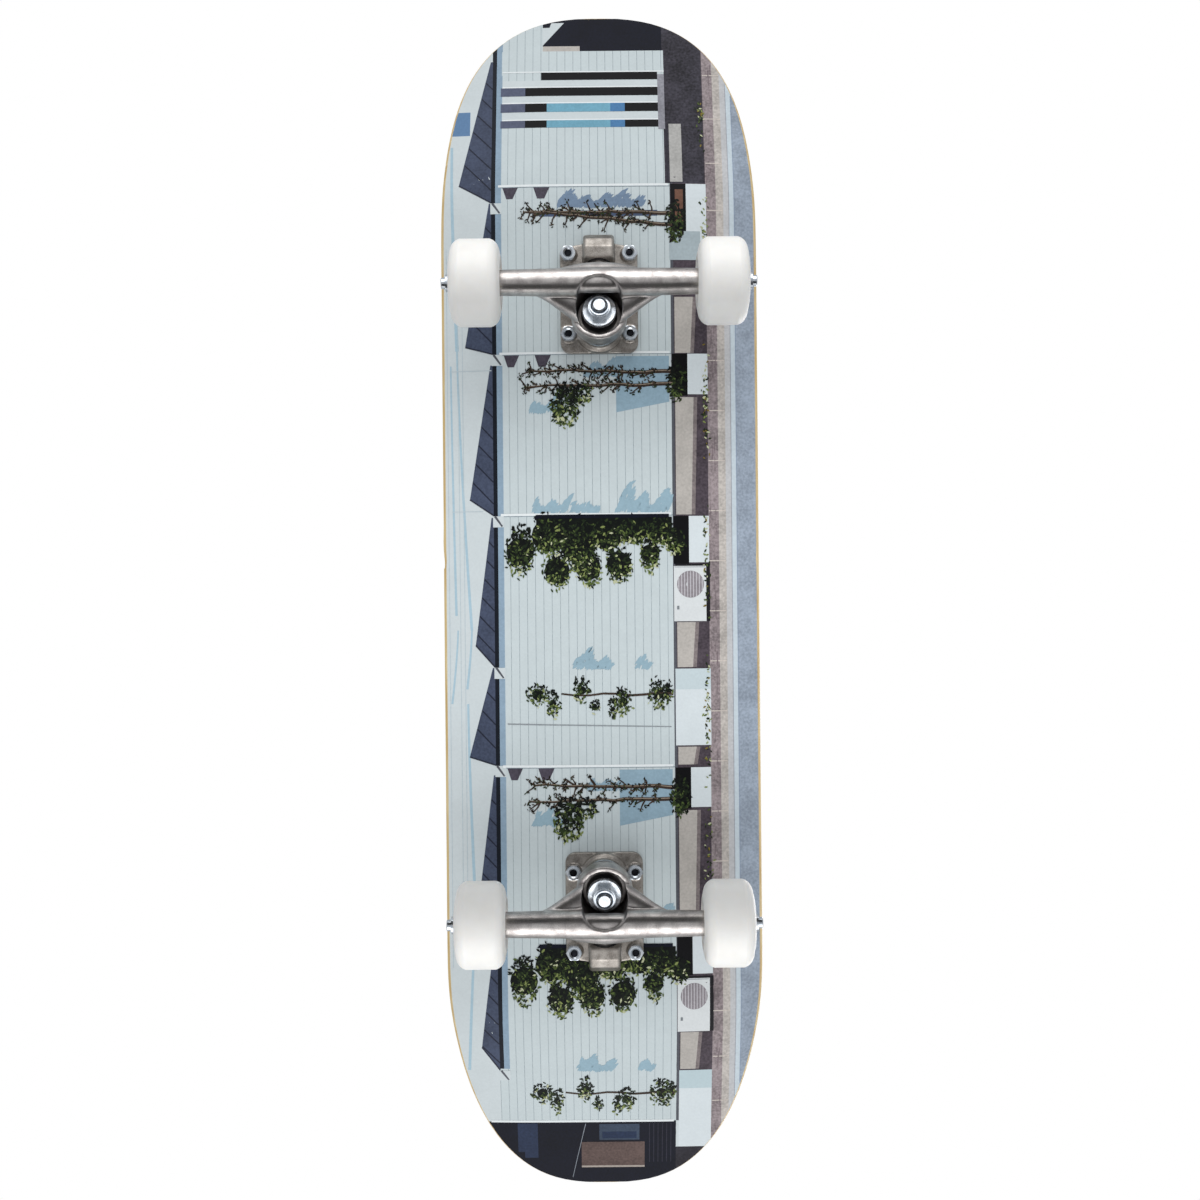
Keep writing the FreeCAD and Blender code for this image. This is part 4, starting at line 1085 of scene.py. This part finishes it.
    def draw_shadow(self, start: float, stop: float, base: float, height: float,
                    tone: Tone = LEAF_SHADE) -> None:
        """Draws the shadow of foliage as ragged blades that lean the same way over a base line.

        Args:
            start: Where the base line starts across the board.
            stop: Where it stops.
            base: Where the base line is along the board.
            height: How far the tallest blades reach from it.
            tone: The shadow's tone.
        """
        chance = self.plants.chance
        for _ in range(int((stop - start) * height * 0.55)):
            across = chance.uniform(start, stop)
            crest = 0.55 + 0.45 * math.sin(across / 2.9) * math.sin(across / 6.1 + base)
            length = chance.uniform(3.0, 7.5)
            along = base + length / 3 + max(0.0, height * crest - length / 2) * chance.random() ** 1.3
            self.plants.leaf((across + (along - base) * 0.35, along), length, length * 0.3,
                             chance.gauss(0.95, 0.2), tone, 1.0)

    def draw_hedge(self, along: float) -> None:
        """Draws the dense hedge that hangs over a wall from a height along the board."""
        lobes = ((-55.0, -25.0, 11.0, 19.0), (-36.0, -14.0, 13.0, 16.0), (-30.0, -38.0, 10.0, 14.0),
                 (-16.0, -20.0, 14.0, 20.0), (-9.0, -36.0, 10.0, 15.0), (4.0, -13.0, 13.0, 13.0),
                 (12.0, -34.0, 10.0, 14.0), (22.0, -11.0, 13.0, 11.0), (33.0, -27.0, 7.5, 14.0),
                 (40.0, -12.0, 10.0, 12.0), (50.0, -19.0, 8.0, 10.0))
        for across, drop, wide, tall in lobes:
            self.hedges.disc((across, along + drop), min(wide, tall) * 0.86, LEAVES[0], 2.0, 14)
            area = wide * tall * math.pi
            self.hedges.scatter((across, along + drop), (wide, tall), int(area / 2.3), LEAVES, 4.0,
                                (2.0, 3.8))
        self.hedges.patch([(-44.0, along - 16.0), (48.0, along - 16.0), (48.0, along - 2.0),
                           (-44.0, along - 2.0)], LEAVES[0], 2.0)
        self.hedges.patch([(-46.0, along - 2.4), (46.0, along - 2.4), (46.0, along), (-44.0, along)],
                          NAVY, 4.6)

    def draw_shrubs(self, along: float) -> None:
        """Draws a trained shrub: one stem along the wall with four clusters on it."""
        stem = [(48.0 - i * 9.5, along + 0.8 * math.sin(i * 1.7)) for i in range(9)]
        self.plants.stroke(stem, (1.7, 1.1), BARK, 3.0)
        for across, drop, wide, tall in (
                (-44.0, 0.0, 8.5, 8.5), (-34.0, -6.0, 5.5, 11.0), (-14.0, 3.0, 6.5, 10.5),
                (-5.5, -8.0, 4.0, 6.0), (7.0, -10.0, 3.6, 9.0), (14.0, -5.0, 7.0, 11.0),
                (38.0, 0.0, 8.0, 12.5), (45.0, 2.0, 4.0, 8.0)):
            self.plants.disc((across, along + drop), min(wide, tall) * 0.45, LEAVES[0], 2.0, 10)
            self.plants.scatter((across, along + drop), (wide, tall), int(wide * tall * 1.3), LEAVES, 4.0,
                                (1.8, 3.4))

    def draw_bare_tree(self, along: float, leafy: bool) -> None:
        """Draws a pruned tree against the wall: two stems with twigs and, if leafy, one green crown.

        Args:
            along: Where the stems start.
            leafy: Whether the tree still has its leaves on one side.
        """
        chance = self.plants.chance
        for offset, slope, reach in ((4.0, -0.02, 96.0), (-4.0, 0.01 if leafy else -0.1, 100.0)):
            points = [(50.0 - reach * i / 14, along + offset - slope * reach * i / 14
                       + chance.uniform(-0.7, 0.7)) for i in range(15)]
            self.plants.stroke(points, (2.8, 1.2), BARK, 3.0)
            self.plants.stroke([(x, y + 0.5) for x, y in points], (0.7, 0.3), Tone("#8d7f70", 0.2), 4.2)
            for start in points[2:]:
                for _ in range(chance.choice((1, 2, 2, 3, 4))):
                    turn = chance.choice((-1, 1)) * chance.uniform(0.2, 1.4)
                    size = chance.uniform(1.5, 9.0)
                    tip = (start[0] - size * math.cos(turn), start[1] + size * math.sin(turn))
                    knee = ((start[0] + tip[0]) / 2 + chance.uniform(-1, 1), (start[1] + tip[1]) / 2)
                    self.plants.stroke([start, knee, tip], (1.3, 0.6), BARK, 3.2)
                    self.plants.scatter(tip, (1.8, 1.8), 5, TWIGS + LEAVES[1:4], 4.0, (1.3, 2.4))
                self.plants.scatter(start, (3.4, 3.0), chance.randint(2, 16), TWIGS + LEAVES[1:4], 4.0,
                                    (1.5, 2.6))
        self.plants.scatter((52.0, along - 2.0), (7.0, 15.0), 190, LEAVES[:5] + TWIGS[:1], 4.5, (2.2, 3.8))
        if leafy:
            self.plants.scatter((-24.0, along - 18.0), (11.0, 16.0), 300, LEAVES, 4.5, (2.4, 4.2))
            self.plants.scatter((-12.0, along - 10.0), (8.0, 8.0), 110, LEAVES, 4.5, (2.2, 3.8))

    def draw_nose_end(self) -> None:
        """Draws the louvred opening and the roof edge at the nose."""
        self.lines.patch([(-38.0, 390.0), (-38.0, 390.6), (-14.0, 420.0), (-38.0, 420.0)], SKY, 1.0)
        slots = ((363.0, 369.0), (350.5, 357.0), (338.0, 344.6), (325.8, 331.4))
        for index, (low, high) in enumerate(slots):
            self.lines.box(-66.0 if index else -39.0, 42.0, low, high, BLACK, 1.0)
            self.lines.box(-66.0, 46.6, high, high + 0.9, TRIM, 2.0)
            if index:
                self.lines.box(-67.0, -50.0, low, high, Tone("#555b70", 0.15), 1.8)
            if index > 1:
                self.lines.box(-35.0, 19.0, low, high, WINDOW, 1.8)
                self.lines.box(9.0, 19.0, low, high, Tone("#4a78a4", 0.1), 2.2)
        self.lines.boxes(
            (-66.0, 46.6, 331.8, 337.6, SKY, 1.0), (-66.0, 46.6, 345.0, 350.2, SKY, 1.0),
            (-66.0, 46.6, 357.4, 362.6, SKY, 1.0), (42.0, 46.6, 324.0, 367.0, Tone("#8d8d95", 0.2), 2.4),
            (46.6, 48.2, 283.0, 327.0, Tone("#2c2a33", 0.2), 2.0),
            (49.0, 57.5, 284.0, 328.0, Tone("#a9a8a5", 0.15), 1.0))

    def draw_tail_end(self) -> None:
        """Draws the dark house at the tail with its window, door and fence."""
        self.lines.boxes(
            (-90.0, 47.0, -363.8, -362.2, TRIM, 2.0),
            (-5.0, 23.0, -378.0, -365.5, Tone("#3a4658", 0.2), 1.5),
            (-3.0, 21.0, -376.8, -371.5, Tone("#23304a", 0.2), 2.2),
            (-17.6, 26.6, -399.0, -379.6, Tone("#5d4d49", 0.25), 1.5),
            (-17.6, 26.6, -400.0, -398.6, Tone("#a69c94", 0.1), 2.2),
            (-62.0, -48.0, -392.0, -364.5, Tone("#27324a", 0.2), 1.2))
        for across in range(30, 47, 3):
            self.lines.stroke([(across, -365.0), (across, -396.0)], (0.5, 0.5), Tone("#2f2f3c", 0.2), 2.0)
        self.lines.stroke([(-14.5, -365.0), (-19.0, -385.0), (-24.0, -408.0)], (0.45, 0.35),
                          Tone("#8d939c", 0.1), 2.4)

    def draw_bays(self) -> None:
        """Draws what stands between the houses and the pavement."""
        for bay, high, low in self.bays:
            if bay is Bay.BED:
                self.lines.patch([(51.0, low), (61.5, low), (63.5, high), (51.0, high)], BEIGE, 1.0)
                self.lines.patch([(61.5, low), (64.0, low), (66.0, high), (63.5, high)],
                                 Tone("#7c7373", 0.3), 1.0)
            elif bay is Bay.PANEL:
                self.lines.box(49.5, 73.6, low, high, PANEL, 1.0)
                self.lines.box(49.5, 73.6, high - 14.0, high, Tone("#c3d0d4", 0.03), 1.6)
            elif bay is Bay.UNIT:
                self.draw_cabinet(high)
            else:
                self.lines.box(49.0, 59.5, low, high, BLACK, 1.0)
                self.lines.box(59.5, 73.2, low + 1.0, high, PANEL, 1.6)
                if bay is Bay.YARD:
                    self.lines.box(52.0, 57.5, high - 26.0, high - 4.0, Tone("#6b4c3e", 0.2), 2.0)
                    self.lines.box(48.0, 69.0, low, high - 33.0, Tone("#a7b4b9", 0.08), 2.4)
        chance = self.plants.chance
        for _ in range(620):
            along = chance.uniform(-230.0, 345.0)
            if chance.random() < 0.5 + 0.5 * math.sin(along / 17.0):
                place = (71.3 + chance.gauss(0.0, 1.3), along)
                size = chance.uniform(1.6, 3.0)
                tone = chance.choice(LEAVES[2:] + [Tone("#7a6a2e", 0.2)])
                self.plants.leaf(place, size, size * 0.45, chance.uniform(0, 2 * math.pi), tone, 4.5)

    def draw_cabinet(self, high: float) -> None:
        """Draws a ventilation cabinet with a round grille, down from a height along the board."""
        self.lines.box(50.0, 73.6, high - 37.5, high + 1.5, Tone("#1d1c20", 0.2), 1.0)
        self.lines.box(49.0, 71.0, high - 37.5, high, Tone("#d6dadb", 0.04), 1.6)
        centre = (60.3, high - 12.4)
        self.lines.disc(centre, 9.2, Tone("#8f898e", 0.15), 2.2)
        for i in range(-4, 5):
            half = math.sqrt(9.0 ** 2 - (i * 2.0) ** 2)
            across = centre[0] + i * 2.0
            self.lines.stroke([(across, centre[1] - half), (across, centre[1] + half)], (0.55, 0.55),
                              Tone("#c4c2c6", 0.1), 3.2)
        self.lines.box(49.6, 70.4, high - 0.9, high - 0.5, Tone("#8d9296", 0.1), 2.2)
        self.lines.box(51.0, 52.6, high - 29.5, high - 27.0, Tone("#7c8286", 0.1), 2.2)

    def draw_road(self) -> None:
        """Draws the joints of the pavement slabs and the wear along the road."""
        along = 400.0
        while along > -400.0:
            self.lines.box(73.4, 84.6, along - 0.35, along + 0.35, Tone("#cbc2ba", 0.1), 1.0)
            along -= self.slab_pitch
        chance = self.lines.chance
        for _ in range(70):
            along = chance.uniform(-380.0, 380.0)
            across = chance.uniform(73.8, 79.0)
            end = (across + chance.uniform(-0.6, 0.6), along + chance.uniform(3, 12))
            self.lines.stroke([(across, along), end], (0.5, 0.3), Tone("#7b6e72", 0.3), 1.2)
        self.lines.stroke([(92.5, 400.0), (92.5, -400.0)], (0.5, 0.5), Tone("#8b99ad", 0.1), 1.0)
        self.lines.stroke([(88.9, 400.0), (88.9, -400.0)], (0.45, 0.45), Tone("#9c9ea6", 0.1), 1.0)


# ---- Studio ----
@dataclass
class Softbox:
    """A rectangular studio light that isn't seen itself."""

    name: str
    place: tuple[float, float, float]
    target: tuple[float, float, float]
    size: Point
    watts: float
    spread_deg: float = 180.0

    def build(self) -> None:
        """Hangs the light and aims it."""
        light = bpy.data.lights.new(self.name, "AREA")
        light.shape = "RECTANGLE"
        light.size, light.size_y = self.size
        light.energy = self.watts
        light.spread = math.radians(self.spread_deg)
        holder = bpy.data.objects.new(self.name, light)
        holder.location = self.place
        aim = Vector(self.target) - Vector(self.place)
        holder.rotation_euler = aim.to_track_quat("-Z", "Y").to_euler()
        holder.visible_camera = False
        bpy.context.scene.collection.objects.link(holder)


@dataclass
class Studio:
    """Pale floor, soft lights, a black card between the trucks, a pale surround and the camera."""

    camera_place: tuple[float, float, float] = (0.0012, 0.0, -0.969)
    roll_deg: float = 0.52
    lens: float = 46.5
    flag_heights: Point = (-0.6, -0.03)
    flag_width: float = 2.4
    surround: float = 0.6
    boxes: list[Softbox] = field(default_factory=lambda: [
        Softbox("light_beyond_nose", (0.0, 1.0, -0.52), (0.0, 0.2, 0.06), (1.6, 1.1), 3.1, 80.0),
        Softbox("light_beyond_tail", (0.0, -1.0, -0.52), (0.0, -0.2, 0.06), (1.6, 1.1), 3.1, 80.0),
        Softbox("light_overhead", (-0.5, -0.3, 1.5), (0.0, 0.0, 0.06), (1.4, 1.4), 12.0)])

    def build(self) -> None:
        """Builds the floor, lights, surround and camera."""
        for box in self.boxes:
            box.build()
        self.build_floor()
        self.build_flag()
        self.build_surround()
        camera = bpy.data.cameras.new("camera")
        camera.lens, camera.sensor_width = self.lens, 36.0
        camera.clip_start, camera.clip_end = 0.01, 50.0
        holder = bpy.data.objects.new("camera", camera)
        holder.location = self.camera_place
        holder.rotation_euler = (0.0, math.pi, math.radians(self.roll_deg))
        bpy.context.scene.collection.objects.link(holder)
        bpy.context.scene.camera = holder
        bpy.context.scene.view_settings.view_transform = "Standard"

    def build_floor(self) -> None:
        """Builds the floor, which is clear from below so that the board can be seen through it."""
        bpy.ops.object.select_all(action="DESELECT")
        bpy.ops.mesh.primitive_plane_add(size=14.0)
        floor = bpy.context.object
        floor.name = "floor"
        graph = Graph("Matt studio floor")
        back = graph.add("ShaderNodeNewGeometry", {}).outputs["Backfacing"]
        rays = graph.add("ShaderNodeLightPath", {}).outputs
        unseen = graph.maths("MAXIMUM", back, rays["Is Shadow Ray"])
        clear = graph.add("ShaderNodeBsdfTransparent", {}).outputs[0]
        matt = graph.add("ShaderNodeBsdfDiffuse", {"Color": linear("#dfe0e1")}).outputs[0]
        mixed = graph.add("ShaderNodeMixShader", {0: unseen, 1: matt, 2: clear}).outputs[0]
        graph.feed(graph.tree.nodes["Material Output"], {"Surface": mixed})
        floor.data.materials.append(graph.material)
        floor.visible_glossy = False
        floor.visible_diffuse = False

    def build_flag(self) -> None:
        """Hangs a black card under the middle, so that each end light reaches its own truck only."""
        low, high = self.flag_heights
        bpy.ops.object.select_all(action="DESELECT")
        bpy.ops.mesh.primitive_plane_add(size=1.0, location=(0.0, 0.0, (low + high) / 2),
                                         rotation=(math.radians(90.0), 0.0, 0.0))
        flag = bpy.context.object
        flag.name = "flag_between_trucks"
        flag.scale = (self.flag_width, high - low, 1.0)
        graph = Graph("Black felt")
        graph.feed(graph.shader, {"Base Color": linear("#08080a"), "Roughness": 0.9})
        flag.data.materials.append(graph.material)
        flag.visible_camera = False
        flag.visible_diffuse = False

    def build_surround(self) -> None:
        """Builds the surround: white to the camera, dimmer as a light."""
        world = bpy.data.worlds.new("surround")
        bpy.context.scene.world = world
        world.use_nodes = True
        tree = world.node_tree
        tree.nodes.clear()
        rays = tree.nodes.new("ShaderNodeLightPath")
        seen = tree.nodes.new("ShaderNodeBackground")
        lit = tree.nodes.new("ShaderNodeBackground")
        mixed = tree.nodes.new("ShaderNodeMixShader")
        output = tree.nodes.new("ShaderNodeOutputWorld")
        seen.inputs["Color"].default_value = (1.0, 1.0, 1.0, 1.0)
        lit.inputs["Color"].default_value = linear("#f6f8fb")
        lit.inputs["Strength"].default_value = self.surround
        for source, target in ((rays.outputs["Is Camera Ray"], mixed.inputs[0]),
                               (lit.outputs[0], mixed.inputs[1]), (seen.outputs[0], mixed.inputs[2]),
                               (mixed.outputs[0], output.inputs["Surface"])):
            tree.links.new(source, target)


def main() -> None:
    """Builds the board's sub-assemblies in order and reports each piece."""
    logging.basicConfig(level=logging.INFO, format="%(name)s: %(message)s")
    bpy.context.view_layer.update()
    Studio().build()
    CadFinishes().apply()
    for end in ENDS:
        Casting(f"{end}_hanger", CAST_ALUMINIUM, f"{end}_hanger", "cast_aluminium").build()
        Casting(f"{end}_baseplate", DULL_SHADED_ALUMINIUM, "deck", "cast_aluminium_dark", 0.55, 5).build()
        for kind in BushingKind:
            Bushing(end, kind).build()
    film = Film().build()
    Street().build(Underside.of(film))
    LOG.info("%d pieces made", REPORT.count)


if __name__ == "__main__":
    main()
